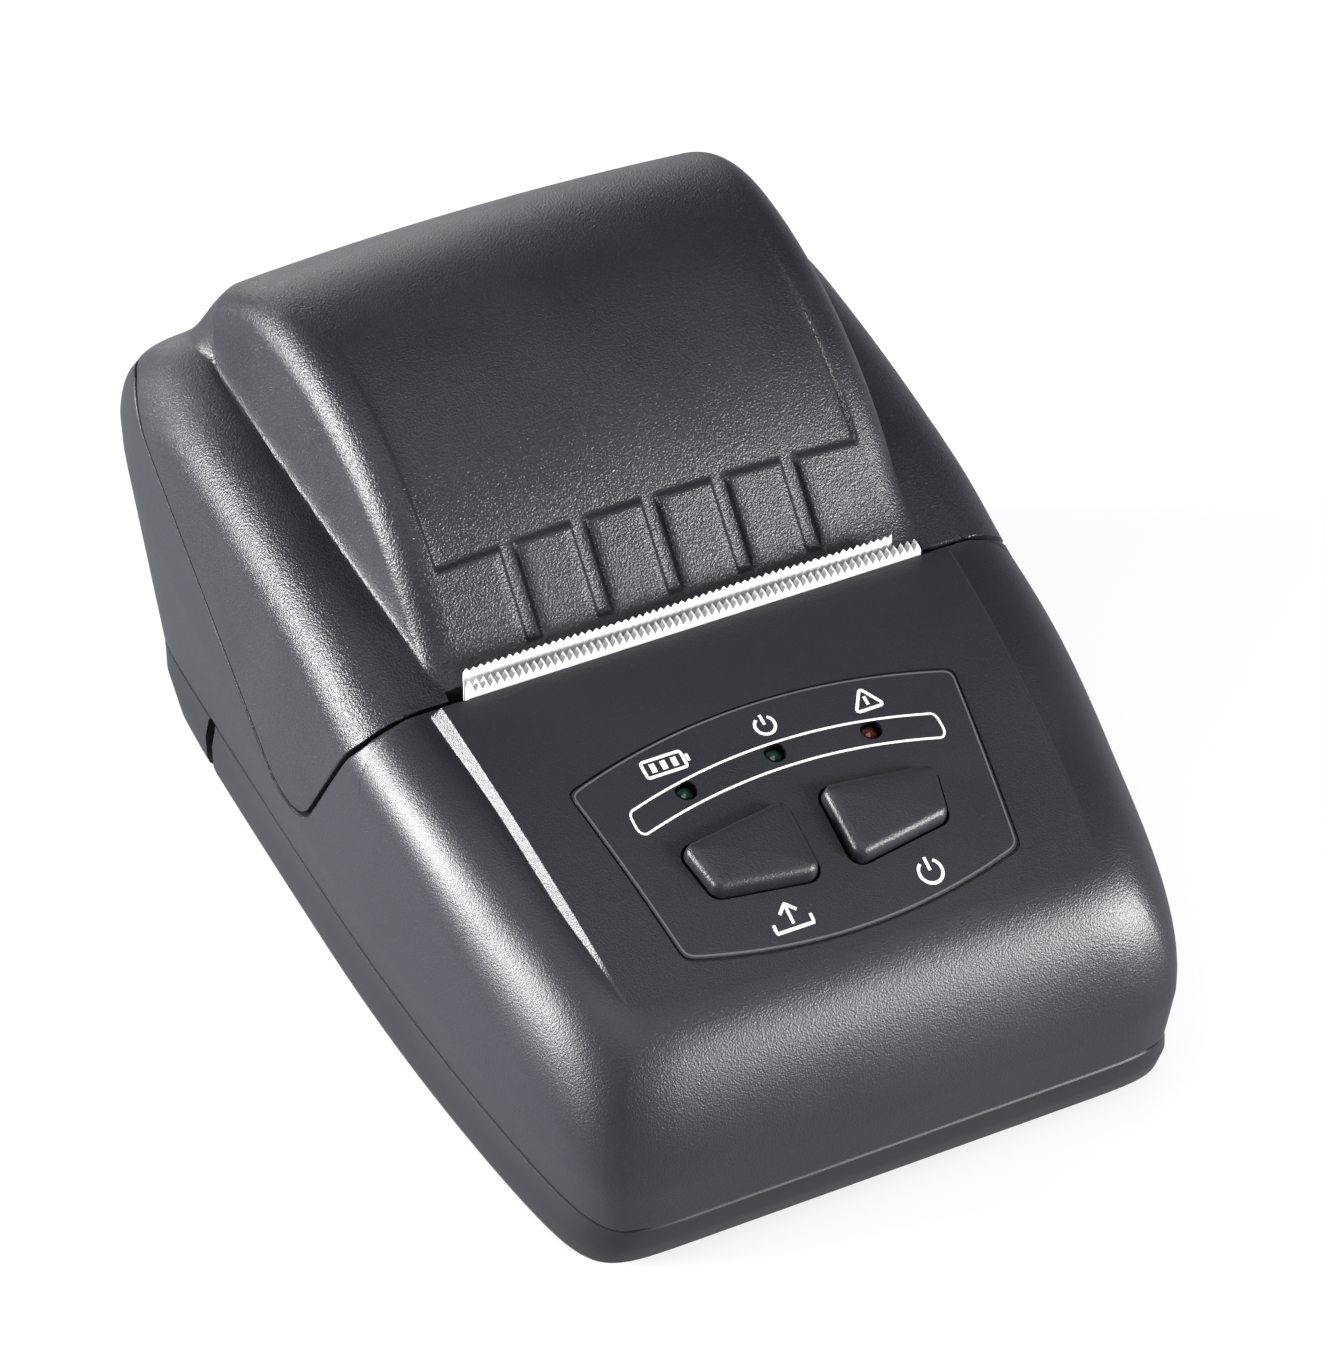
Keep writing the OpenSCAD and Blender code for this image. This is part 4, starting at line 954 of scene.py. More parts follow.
@dataclass
class FrontHousing(Piece):
    """The upper shell: sloping panel, rounded nose, side walls up to the seam and rear wall with its sockets."""

    form: BodyForm = FORM
    controls: Controls = field(default_factory=lambda: Controls(FORM))
    side_count: int = 60
    rim: float = 0.3
    pocket: float = 0.4
    jack: tuple[float, ...] = (-16.0, 17.0, 3.6)
    port: tuple[float, ...] = (14.0, 17.0, 3.4, 1.8)

    def across(self, y: Array, flat: Array) -> Array:
        """Places across each cross section: even over the panel, close together on its bevel."""
        b = self.form.bevel_at(y)[:, None]
        w = np.minimum(self.form.panel_half(y)[:, None], flat[:, None] - 1.2 * b - 0.1)
        inner = np.minimum(self.form.slot_half, w - 0.5 * b - 0.4)
        panel = np.concatenate([np.linspace(0, 1, 12)[None, :] * (inner - 0.3), inner], axis=1)
        bevel = w + b * np.array([-0.5, -0.2, -0.08, 0.0, 0.08, 0.2, 0.5, 0.8, 0.92, 1.0, 1.08, 1.2])[None, :]
        last = bevel[:, -1:]
        rest = last + (flat[:, None] - last) * np.linspace(0, 1, 7)[None, 1:]
        return np.concatenate([panel, bevel, rest], axis=1)

    def sheet(self) -> bpy.types.Object:
        """The outer skin as three grids: cross sections, lines over the nose, and the wall below the seam.

        Returns:
            The open sheet.
        """
        f = self.form
        nose, back = f.line_y(False), f.lid_y - 0.2
        y = spread([nose, -40.0, -16.0, -14.1, -12.7, back], [22, 26, 5, 15, 4])
        r0, r1 = f.rows_at(y)
        flat = f.edge_start(r0, r1)[:, 0]
        x = self.across(y, flat)
        rows = np.broadcast_to(y[:, None], x.shape)
        top = np.stack([x, rows, f.panel_top(x, rows)], axis=2)
        side = along(f.side_paths(r0, r1, f.panel_top), self.side_count)
        half = np.concatenate([top, side[:, 1:]], axis=1)
        work = Patchwork()
        work.grid(np.concatenate([half[:, :0:-1] * MIRROR, half], axis=1))
        start = np.concatenate([-x[0, :0:-1], x[0]])
        work.grid(along(f.end_paths(start, nose, float(flat[0]), False, f.panel_top), self.side_count))
        b = spread([float(r1[-1]), -0.02, 0.3, f.corner(True)], [22, 26, 40])
        a = np.linspace(f.corner(True), -f.corner(True), 61)[1:-1]
        n = f.rear_corner
        place0 = np.concatenate([f.unit_x(b), a, -f.unit_x(b)[::-1]])
        place1 = np.concatenate([b, (1.0 - np.abs(a) ** n) ** (1.0 / n), b[::-1]])
        wall = f.side_paths(place0, place1, f.panel_top)[:, ::-1]
        keep = -f.above_seam(wall, f.seam_gap)
        keep[[0, -1]] = 1.0
        work.grid(along(cut_rows(wall, keep, 0.6), self.side_count))
        return work.mesh(self.name, upward=True)

    def cutters(self) -> list[bpy.types.Object]:
        """The slot, label pocket, key and lamp holes, sockets and hinge opening."""
        f, c = self.form, self.controls
        loop = c.label_loop(0.28)
        rings = np.linspace(0, 1, 12)
        pocket = Patchwork()
        pocket.grid(np.concatenate([c.sheet(loop, -self.pocket, rings), c.sheet(loop, 6.0, rings[::-1])]),
                    wrap_columns=True)
        jx, jz, jr = self.jack
        px, pz, ph, pr = self.port
        stadium = circle(pr, 40) + np.array([px, pz])
        stadium[:, 0] += np.where(stadium[:, 0] > px, ph, -ph)
        return [slot_cutter(f), pocket.mesh("label_pocket"), *c.openings(),
                rear_cutter("jack_hole", circle(jr, 48) + np.array([jx, jz]), 50.0, 80.0),
                rear_cutter("port_hole", stadium, 50.0, 80.0), hinge_cutter(f, 86.0)]

    def build(self, kit: "FinishKit") -> None:
        """Makes the housing with its wall and all its openings."""
        shell = self.sheet()
        thicken(shell, self.form.wall, self.rim)
        self.place(carve(shell, self.cutters()), kit)


@dataclass
class BaseTray(Piece):
    """The lower shell: drawn-in sides, lip under the housing, floor with screw wells and foot recesses."""

    form: BodyForm = FORM
    outside: tuple[tuple[float, ...], ...] = (
        (3.2, 11.1, 0.0, 8.5), (3.2, 9.15, 0.0, 8.5), (1.0, 9.1, 0.2, 8.5), (0.72, 8.9, 0.3, 8.7),
        (0.1, 6.0, 1.4, 11.5), (0.1, 2.6, 2.8, 16.0), (0.4, 1.4, 3.6, 19.0), (1.1, 0.8, 4.4, 22.0))
    inside: tuple[tuple[float, ...], ...] = (
        (4.4, 11.1, 0.0, 8.5), (4.4, 8.0, 0.8, 9.9), (2.9, 6.0, 1.4, 11.5), (3.3, 3.0, 3.2, 17.0))
    wells: tuple[tuple[float, float], ...] = ((33.3, -48.0), (35.8, 36.0))
    feet: tuple[tuple[float, float], ...] = ((26.0, -55.0), (26.0, 35.0))
    well_r: float = 3.0
    well_top: float = 2.2
    foot_r: float = 5.1
    foot_top: float = 1.62
    notch_y: float = 37.6
    notch_r: float = 1.1
    notch_deep: float = 1.7

    def half_ring(self) -> tuple[Array, Array]:
        """Ring places of the right half, from the middle of the rear to the middle of the nose."""
        f = self.form
        a = f.corner(True) * (1.0 - (1.0 - np.linspace(0, 1, 26)) ** 1.5)
        b = np.linspace(f.corner(True), -f.corner(False), 90)[1:-1]
        c = f.corner(False) * (1.0 - (1.0 - np.linspace(1, 0, 26)) ** 1.5)
        n, m = f.rear_corner, f.front_corner
        r0 = np.concatenate([a, f.unit_x(b), c])
        r1 = np.concatenate([(1 - a**n) ** (1 / n), b, -((1 - c**m) ** (1 / m))])
        return r0, r1

    def level(self, inset: float, z: float, front: float, rear: float) -> Array:
        """The right half ring at one level: inset all round and drawn in at the nose and the rear."""
        r0, r1 = self.half_ring()
        x, y = self.form.ring(r0, r1, np.full_like(r0, inset))
        y = y + r1 * r1 * np.where(r1 < 0, front, -rear)
        return np.stack([x, y, np.full_like(x, z)], axis=1)

    def shell(self) -> bpy.types.Object:
        """The closed tray: level rings outside and inside, joined by a lip, a floor and an underside of rungs.

        Returns:
            The tray.
        """
        outer = np.stack([self.level(*v) for v in self.outside])
        inner = np.stack([self.level(*v) for v in self.inside])
        work = Patchwork()
        for rings in (outer, inner, np.stack([outer[0], inner[0]])):
            full = np.concatenate([rings, rings[:, -2:0:-1] * MIRROR], axis=1)
            work.grid(full, wrap_columns=True)
        for rim in (outer[-1], inner[-1]):
            t = np.linspace(-1, 1, 13)[None, :, None]
            work.grid(rim[:, None] * (np.array([1.0, 0.0, 0.0]) * t + np.array([0.0, 1.0, 1.0])))
        return work.mesh(self.name)

    def cutters(self) -> list[bpy.types.Object]:
        """Screw wells, foot recesses and the upright notches at the rear of the sides."""
        made = []
        for side in (-1.0, 1.0):
            for i, (x, y) in enumerate(self.wells):
                made.append(post_cutter(f"well_{i}_{side:.0f}", side * x, y, self.well_r, -1.0, self.well_top))
            for i, (x, y) in enumerate(self.feet):
                made.append(post_cutter(f"foot_{i}_{side:.0f}", side * x, y, self.foot_r, -1.0, self.foot_top))
            made.append(self.notch(f"notch_{side:.0f}", side))
        return made

    def notch(self, name: str, side: float) -> bpy.types.Object:
        """An upright rounded slot cut into one side."""
        loop = circle(self.notch_r, 40)
        loop[:, 1] = np.where(loop[:, 1] > 0, loop[:, 1] + 8.4, loop[:, 1] + 1.6)
        x = self.form.half_at(np.array(self.notch_y)) * side
        low = np.stack([np.full(40, x - side * self.notch_deep), loop[:, 0] + self.notch_y, loop[:, 1]], axis=1)
        high = low + np.array([side * 9.0, 0.0, 0.0])
        return prism_cutter(name, low, high)

    def build(self, kit: "FinishKit") -> None:
        """Makes the tray with its wells, recesses and notches."""
        self.place(carve(self.shell(), self.cutters()), kit)


@dataclass
class LabelFilm(Piece):
    """The film on the panel, with holes for keys and lamps."""

    controls: Controls = field(default_factory=lambda: Controls(FORM))
    thick: float = 0.45
    proud: float = 0.12

    def build(self, kit: "FinishKit") -> None:
        """Makes the film as a polar sheet on the panel with a thin wall."""
        c = self.controls
        rings = np.concatenate([np.linspace(0, 0.96, 16), [0.985, 1.0]])
        work = Patchwork()
        work.grid(c.sheet(c.label_loop(0.0), self.proud, rings), wrap_columns=True)
        film = work.mesh(self.name, upward=True)
        thicken(film, self.thick, 0.1)
        self.place(carve(film, c.openings()), kit)


@dataclass
class KeyCap(Piece):
    """A soft-edged key: a rounded outline carried through a crowned profile."""

    controls: Controls = field(default_factory=lambda: Controls(FORM))
    sign: float = 1.0
    proud: float = 2.2
    foot: float = -3.3

    def build(self, kit: "FinishKit") -> None:
        """Makes the cap: each level is the outline moved in, the top a few rings with a slight crown."""
        c = self.controls
        turn = np.linspace(0, np.pi / 2, 7)
        inset = np.concatenate([[0.35, 0.0, 0.0], 0.12 + 1.25 * (1 - np.cos(turn))])
        height = np.concatenate([[self.foot, self.foot + 0.4, 0.3], self.proud - 1.15 + 1.0 * np.sin(turn)])
        loops = np.stack([c.key_loop(-s) for s in inset])
        centre = loops[-1].mean(axis=0)
        share = np.array([0.8, 0.5, 0.25, 0.0])
        crown = centre + (loops[-1] - centre)[None] * share[:, None, None]
        flat = np.concatenate([centre + (loops[0] - centre)[None] * np.array([0.0, 0.6])[:, None, None], loops, crown])
        w = np.concatenate([[self.foot, self.foot], height, self.proud - 0.15 + 0.15 * (1 - share**2)])
        flat = flat * np.array([self.sign, 1.0])
        work = Patchwork()
        work.grid(c.on_plane(flat[..., 0], flat[..., 1], w[:, None]), wrap_columns=True)
        cap = work.mesh(self.name)
        self.place(settle(cap, 50.0), kit)


@dataclass
class PaperTongue(Piece):
    """The strip of receipt paper that stands out of the slot, torn along the bar's teeth."""

    form: BodyForm = FORM
    left: float = -30.2
    right: float = 27.3
    tooth: float = 0.95
    top: float = 2.8
    bottom: float = -7.0
    thick: float = 0.12

    def build(self, kit: "FinishKit") -> None:
        """Makes the strip: a grid whose upper edge follows a triangle wave of the tooth's pitch."""
        f = self.form
        x = np.linspace(self.left, self.right, int((self.right - self.left) / self.tooth) * 8 + 1)
        wave = np.abs(((x - self.left) / self.tooth) % 1.0 - 0.5) * 2.0
        ragged = 0.12 * np.sin(x * 3.1) + 0.09 * np.sin(x * 7.3 + 1.0)
        edge = self.top - 0.55 * wave + 0.35 * ragged
        t = np.linspace(0, 1, 9)[:, None]
        z = f.slot_z + self.bottom + (edge[None] - self.bottom) * t
        y = f.slot_y + 1.0 + 0.12 * np.sin(x * 0.21)[None] * t**2
        work = Patchwork()
        work.grid(np.stack([np.broadcast_to(x, z.shape), y, z], axis=2))
        strip = work.mesh(self.name)
        thicken(strip, self.thick, 0.0)
        self.place(settle(strip, 60.0), kit)


@dataclass
class PanelPrint(Piece):
    """White lines and signs printed on the film."""

    controls: Controls = field(default_factory=lambda: Controls(FORM))
    lift: float = 0.155
    stroke: float = 0.4
    frame_stroke: float = 0.29

    def ribbon(self, work: Patchwork, path: Array, closed: bool, width: float) -> None:
        """Adds a band of even width along a path on the panel.

        Args:
            work: grids of the print.
            path: points (x, y) of the band's middle.
            closed: True joins the last point to the first.
            width: width of the band.
        """
        if closed:
            run = np.roll(path, -1, axis=0) - np.roll(path, 1, axis=0)
        else:
            run = np.gradient(path, axis=0)
        run = run / np.linalg.norm(run, axis=1, keepdims=True)
        normal = np.stack([-run[:, 1], run[:, 0]], axis=1) * width / 2
        self.patch(work, np.stack([path - normal, path + normal], axis=1), closed)

    def patch(self, work: Patchwork, xy: Array, closed: bool = False) -> None:
        """Adds a grid of plan points as a thin closed slab on the panel."""
        z = self.controls.form.panel_z(xy[..., 1:]) + self.lift
        high = np.concatenate([xy, z], axis=2)
        low = high - np.array([0.0, 0.0, 0.045])
        ring = np.concatenate([high, low[:, ::-1], high[:, :1]], axis=1)
        work.grid(ring, wrap_rows=closed)
        if not closed:
            for end in (0, -1):
                work.grid(np.stack([high[end], low[end]]))

    def line(self, work: Patchwork, points: Sequence[Sequence[float]], width: Optional[float] = None,
             closed: bool = False, radius: float = 0.2) -> None:
        """Adds a band along straight runs with rounded corners."""
        p = np.array(points, float)
        if closed:
            path = rounded_outline(p, [radius] * len(p), 7)
        else:
            t = np.linspace(0, 1, 6)[:, None]
            path = np.concatenate([a + (b - a) * t[: 6 if i == len(p) - 2 else 5]
                                   for i, (a, b) in enumerate(zip(p[:-1], p[1:]))])
        self.ribbon(work, path, closed, width or self.stroke)

    def arc(self, work: Patchwork, x: float, y: float, radius: float, start: float, stop: float) -> None:
        """Adds an arc between two angles in degrees."""
        a = np.radians(np.linspace(start, stop, 33))
        self.ribbon(work, np.array([x, y]) + radius * np.stack([np.cos(a), np.sin(a)], axis=1), False, self.stroke)

    def pill(self, work: Patchwork) -> None:
        """Adds the bent rounded frame round the lamps."""
        x = np.linspace(-19.2, 19.7, 61)
        mid = self.controls.lamp_mid_y - 0.35 - 0.0071 * x * x
        half = 1.75
        upper = np.stack([x, mid + half], axis=1)
        lower = np.stack([x, mid - half], axis=1)[::-1]
        a = np.radians(np.linspace(90, -90, 21)[1:-1])
        bow = half * np.sign(np.sin(a)) * np.abs(np.sin(a)) ** 0.6
        right = np.stack([x[-1] + 0.9 * np.cos(a), mid[-1] + bow], axis=1)
        left = np.stack([x[0] - 0.9 * np.cos(a), mid[0] + bow], axis=1)[::-1]
        loop = np.concatenate([upper, right, lower, left])
        self.ribbon(work, resample_loop(loop, 260), True, self.frame_stroke)

    def power_sign(self, work: Patchwork, x: float, y: float, radius: float) -> None:
        """Adds an open ring with an upright bar."""
        self.arc(work, x, y, radius, 125.0, 415.0)
        self.line(work, [(x, y + 0.1 * radius), (x, y + 1.25 * radius)])

    def battery_sign(self, work: Patchwork, x: float, y: float) -> None:
        """Adds a battery outline with a terminal and three bars."""
        w, h = 2.6, 1.15
        self.line(work, [(x - w, y - h), (x + w, y - h), (x + w, y + h), (x - w, y + h)], closed=True, radius=0.35)
        self.line(work, [(x + w + 0.5, y - 0.5), (x + w + 0.5, y + 0.5)])
        for i in range(3):
            self.line(work, [(x - 1.4 + 1.4 * i, y - 0.62), (x - 1.4 + 1.4 * i, y + 0.62)], 0.7)

    def fault_sign(self, work: Patchwork, x: float, y: float) -> None:
        """Adds a triangle with a bar in it."""
        self.line(work, [(x - 1.9, y - 1.25), (x + 1.9, y - 1.25), (x, y + 1.75)], closed=True, radius=0.3)
        self.line(work, [(x, y - 0.65), (x, y + 0.55)])

    def feed_sign(self, work: Patchwork, x: float, y: float) -> None:
        """Adds a sheet's edge with an arrow that leads out of it."""
        self.line(work, [(x - 2.4, y - 0.4), (x - 2.4, y - 1.5), (x + 2.4, y - 1.5), (x + 2.4, y - 0.4)])
        self.line(work, [(x, y - 0.9), (x, y + 1.5)])
        self.line(work, [(x - 1.1, y + 0.55), (x, y + 1.65), (x + 1.1, y + 0.55)])

    def build(self, kit: "FinishKit") -> None:
        """Makes the frame round the lamps and the five signs as one print."""
        work = Patchwork()
        self.pill(work)
        self.battery_sign(work, -13.2, -31.4)
        self.power_sign(work, 0.6, -30.6, 1.25)
        self.fault_sign(work, 13.6, -31.6)
        self.feed_sign(work, -8.0, -54.2)
        self.power_sign(work, 10.4, -54.5, 1.45)
        self.place(settle(work.mesh(self.name), 60.0), kit)


@dataclass
class LabelRim(PanelPrint):
    """The fine pale line round the film."""

    inside: float = 0.25
    fine: float = 0.2

    def build(self, kit: "FinishKit") -> None:
        """Makes the line as a narrow closed band just inside the film's outline."""
        work = Patchwork()
        self.ribbon(work, self.controls.label_loop(-self.inside), True, self.fine)
        self.place(settle(work.mesh(self.name), 60.0), kit)


@dataclass(frozen=True)
class Finish:
    """One surface finish: two tones, a spread of roughness and a grain."""

    slot: str
    dark: Colour
    light: Colour
    rough: tuple[float, float] = (0.4, 0.5)
    grain: float = 2600.0
    depth: float = 0.00004
    mottle: float = 60.0
    metallic: float = 0.0
    specular: float = 0.5
    coat: float = 0.0


FINISHES: tuple[Finish, ...] = (
    Finish("shell", (0.0135, 0.014, 0.0185), (0.0195, 0.020, 0.026), (0.34, 0.40), 4200.0, 0.00005, 40.0),
    # tray: the shell plastic made darker, as painted shade on the base tray, which lies low and drawn in under the
    # housing
    Finish("tray", (0.0085, 0.009, 0.012), (0.0125, 0.013, 0.0165), (0.40, 0.46), 4200.0, 0.00001, 40.0),
    Finish("rim_line", (0.085, 0.086, 0.096), (0.120, 0.121, 0.132), (0.36, 0.46), 6000.0, 0.000005, 80.0),
    Finish("lid", (0.010, 0.0105, 0.014), (0.026, 0.027, 0.034), (0.27, 0.33), 3800.0, 0.00010, 45.0),
    Finish("overlay", (0.0145, 0.015, 0.0195), (0.0185, 0.019, 0.025), (0.34, 0.40), 4600.0, 0.00004, 50.0),
    Finish("green_lens", (0.004, 0.030, 0.018), (0.012, 0.070, 0.042), (0.08, 0.16), 3000.0, 0.000004, 400.0, coat=0.6),
    Finish("red_lens", (0.060, 0.004, 0.005), (0.160, 0.014, 0.016), (0.08, 0.16), 3000.0, 0.000004, 400.0, coat=0.6),
    Finish("keys", (0.0145, 0.015, 0.0195), (0.0205, 0.021, 0.027), (0.34, 0.40), 4400.0, 0.00005, 60.0),
    Finish("tear_bar", (0.52, 0.52, 0.52), (0.64, 0.64, 0.635), (0.40, 0.52), 3000.0, 0.00001, 120.0),
    Finish("paper", (0.66, 0.66, 0.655), (0.76, 0.76, 0.755), (0.80, 0.92), 5000.0, 0.00001, 160.0, specular=0.25),
    Finish("print", (0.74, 0.74, 0.75), (0.84, 0.84, 0.85), (0.50, 0.62), 5000.0, 0.000006, 200.0),
    Finish("card", (0.30, 0.21, 0.12), (0.42, 0.31, 0.19), (0.75, 0.90), 1800.0, 0.00003, 220.0, specular=0.25),
    Finish("inner_plastic", (0.020, 0.020, 0.023), (0.034, 0.034, 0.038), (0.42, 0.56), 3000.0, 0.00003, 70.0),
    Finish("steel", (0.44, 0.45, 0.46), (0.58, 0.59, 0.60), (0.22, 0.36), 2400.0, 0.000006, 150.0, metallic=1.0),
    Finish("chassis", (0.10, 0.10, 0.11), (0.16, 0.16, 0.17), (0.42, 0.56), 2600.0, 0.00002, 90.0),
    Finish("platen_rubber", (0.015, 0.015, 0.016), (0.030, 0.030, 0.031), (0.58, 0.72), 3400.0, 0.00002, 140.0),
    Finish("feet", (0.018, 0.018, 0.019), (0.034, 0.034, 0.035), (0.66, 0.82), 3000.0, 0.00003, 200.0),
    Finish("gear_plastic", (0.56, 0.55, 0.50), (0.70, 0.69, 0.64), (0.36, 0.48), 2600.0, 0.00001, 160.0),
    Finish("pinion", (0.50, 0.40, 0.20), (0.64, 0.53, 0.30), (0.26, 0.38), 2600.0, 0.000006, 160.0, metallic=1.0),
    Finish("heat_sink", (0.46, 0.47, 0.48), (0.58, 0.59, 0.60), (0.34, 0.48), 2600.0, 0.00001, 120.0, metallic=1.0),
    Finish("ceramic", (0.58, 0.55, 0.48), (0.70, 0.67, 0.60), (0.30, 0.42), 2600.0, 0.000006, 140.0),
    Finish("motor_can", (0.34, 0.35, 0.36), (0.46, 0.47, 0.48), (0.26, 0.40), 2600.0, 0.000008, 120.0, metallic=1.0),
    Finish("board", (0.010, 0.070, 0.035), (0.020, 0.115, 0.060), (0.30, 0.44), 900.0, 0.00002, 260.0),
    Finish("black_plastic", (0.012, 0.012, 0.013), (0.024, 0.024, 0.026), (0.38, 0.52), 3000.0, 0.00002, 120.0),
    Finish("battery", (0.030, 0.034, 0.060), (0.048, 0.053, 0.088), (0.28, 0.40), 2600.0, 0.00001, 90.0),
)


def add_node(tree: bpy.types.NodeTree, kind: str, values: Optional[dict] = None,
             **settings: object) -> bpy.types.Node:
    """Adds a shader node.

    Args:
        tree: the tree it goes into.
        kind: type of the node without its common prefix.
        values: default values of input sockets, by name or number.
        settings: properties of the node, set before the values.

    Returns:
        The node.
    """
    node = tree.nodes.new(f"ShaderNode{kind}")
    for label, value in settings.items():
        setattr(node, label, value)
    for label, value in (values or {}).items():
        node.inputs[label].default_value = value
    return node


def wire(tree: bpy.types.NodeTree, *joins: tuple) -> None:
    """Links sockets; each join is a node, its output, another node and that node's input."""
    for source, out, target, into in joins:
        tree.links.new(source.outputs[out], target.inputs[into])


class FinishKit:
    """Makes one material per finish from shared groups for grain, mottle and dust."""

    def __init__(self) -> None:
        """Builds the shared groups once."""
        self.made: dict[str, bpy.types.Material] = {}
        self.finishes = {f.slot: f for f in FINISHES}
        self.grain = self.grain_group()
        self.mottle = self.mottle_group()
        self.dust = self.dust_group()

    @staticmethod
    def group(name: str, inputs: Sequence[tuple], outputs: Sequence[tuple]) -> tuple:
        """An empty shader group with sockets.

        Args:
            name: name of the group.
            inputs: pairs of socket name and default value.
            outputs: pairs of socket name and socket type.

        Returns:
            The group, its input node and its output node.
        """
        tree = bpy.data.node_groups.new(name, "ShaderNodeTree")
        for label, value in inputs:
            socket = tree.interface.new_socket(label, in_out="INPUT", socket_type="NodeSocketFloat")
            socket.default_value = value
        for label, kind in outputs:
            tree.interface.new_socket(label, in_out="OUTPUT", socket_type=kind)
        return tree, tree.nodes.new("NodeGroupInput"), tree.nodes.new("NodeGroupOutput")

    def grain_group(self) -> bpy.types.NodeTree:
        """Spark-eroded grain: two noises of different size, as a bumped normal and as a speck mask."""
        tree, take, give = self.group("moulded_grain", [("Scale", 3000.0), ("Depth", 0.00004)],
                                      [("Normal", "NodeSocketVector"), ("Speck", "NodeSocketFloat")])
        place = add_node(tree, "TexCoord")
        noise = add_node(tree, "TexNoise", {"Detail": 2.5, "Roughness": 0.62})
        pits = add_node(tree, "TexVoronoi", {"Smoothness": 0.4}, feature="SMOOTH_F1")
        both = add_node(tree, "Math", {1: 0.45}, operation="MULTIPLY_ADD")
        bump = add_node(tree, "Bump", {"Strength": 1.0})
        mask = add_node(tree, "MapRange", {"From Min": 0.52, "From Max": 0.74})
        wire(tree, (place, "Object", noise, "Vector"), (place, "Object", pits, "Vector"),
             (take, "Scale", noise, "Scale"), (take, "Scale", pits, "Scale"), (pits, "Distance", both, 0),
             (noise, "Fac", both, 2), (both, 0, bump, "Height"), (take, "Depth", bump, "Distance"),
             (noise, "Fac", mask, "Value"), (bump, "Normal", give, "Normal"), (mask, "Result", give, "Speck"))
        return tree

    def mottle_group(self) -> bpy.types.NodeTree:
        """Slow unevenness from moulding and handling, as a value from 0 to 1."""
        tree, take, give = self.group("handling_mottle", [("Scale", 60.0)], [("Value", "NodeSocketFloat")])
        place = add_node(tree, "TexCoord")
        noise = add_node(tree, "TexNoise", {"Detail": 4.0, "Distortion": 0.6})
        level = add_node(tree, "MapRange", {"From Min": 0.3, "From Max": 0.7})
        wire(tree, (place, "Object", noise, "Vector"), (take, "Scale", noise, "Scale"),
             (noise, "Fac", level, "Value"), (level, "Result", give, "Value"))
        return tree

    def dust_group(self) -> bpy.types.NodeTree:
        """Fine dust that lies on faces that look up, as a mask."""
        tree, _, give = self.group("settled_dust", [], [("Mask", "NodeSocketFloat")])
        place = add_node(tree, "TexCoord")
        face = add_node(tree, "NewGeometry")
        split = add_node(tree, "SeparateXYZ")
        noise = add_node(tree, "TexNoise", {"Scale": 1900.0, "Detail": 1.0})
        specks = add_node(tree, "MapRange", {"From Min": 0.74, "From Max": 0.86})
        upward = add_node(tree, "MapRange", {"From Min": 0.2, "From Max": 0.9})
        both = add_node(tree, "Math", operation="MULTIPLY")
        wire(tree, (place, "Object", noise, "Vector"), (face, "Normal", split, 0), (split, "Z", upward, "Value"),
             (noise, "Fac", specks, "Value"), (specks, "Result", both, 0), (upward, "Result", both, 1),
             (both, 0, give, "Mask"))
        return tree

    def material(self, slot: str) -> bpy.types.Material:
        """The material of a slot, made when first asked for.

        Args:
            slot: name of the finish.

        Returns:
            The material.
        """
        if slot not in self.made:
            self.made[slot] = self.make(self.finishes[slot])
        return self.made[slot]

    def make(self, finish: Finish) -> bpy.types.Material:
        """Builds a material: tones mixed by grain and mottle, roughness spread by mottle, grain as normal.

        Args:
            finish: what the surface is like.

        Returns:
            The material.
        """
        made = bpy.data.materials.new(f"{finish.slot}_finish")
        made.use_nodes = True
        tree = made.node_tree
        shader = tree.nodes["Principled BSDF"]
        for label, value in (("Metallic", finish.metallic), ("Specular IOR Level", finish.specular),
                             ("Coat Weight", finish.coat), ("Coat Roughness", 0.05)):
            shader.inputs[label].default_value = value
        pale = tuple(min(1.0, c * 1.5 + 0.012) for c in finish.light)
        grain = add_node(tree, "Group", {"Scale": finish.grain, "Depth": finish.depth}, node_tree=self.grain)
        mottle = add_node(tree, "Group", {"Scale": finish.mottle}, node_tree=self.mottle)
        dust = add_node(tree, "Group", node_tree=self.dust)
        share = add_node(tree, "Math", {1: 0.6}, operation="MULTIPLY_ADD")
        tone = add_node(tree, "Mix", {"A": (*finish.dark, 1.0), "B": (*finish.light, 1.0)}, data_type="RGBA")
        half = add_node(tree, "Math", {1: 0.4}, operation="MULTIPLY")
        dusted = add_node(tree, "Mix", {"B": (*pale, 1.0)}, data_type="RGBA")
        rough = add_node(tree, "MapRange", {"To Min": finish.rough[0], "To Max": finish.rough[1]})
        wire(tree, (mottle, "Value", half, 0), (grain, "Speck", share, 0), (half, 0, share, 2),
             (share, 0, tone, "Factor"), (dust, "Mask", dusted, "Factor"), (tone, "Result", dusted, "A"),
             (dusted, "Result", shader, "Base Color"), (mottle, "Value", rough, "Value"),
             (rough, "Result", shader, "Roughness"), (grain, "Normal", shader, "Normal"))
        return made


@dataclass(frozen=True)
class SoftLight:
    """A rectangular soft light that looks at the printer."""

    name: str
    toward: tuple[float, float, float]
    distance: float
    size: tuple[float, float]
    watts: float

    def build(self, aim: Vector) -> None:
        """Places the light at its distance along its direction and turns it to the aim."""
        data = bpy.data.lights.new(self.name, "AREA")
        data.shape = "RECTANGLE"
        data.size, data.size_y = self.size
        data.energy = self.watts
        lamp = add_object(self.name, data)
        lamp.location = aim + Vector(self.toward).normalized() * self.distance
        lamp.rotation_euler = (aim - lamp.location).to_track_quat("-Z", "Y").to_euler()


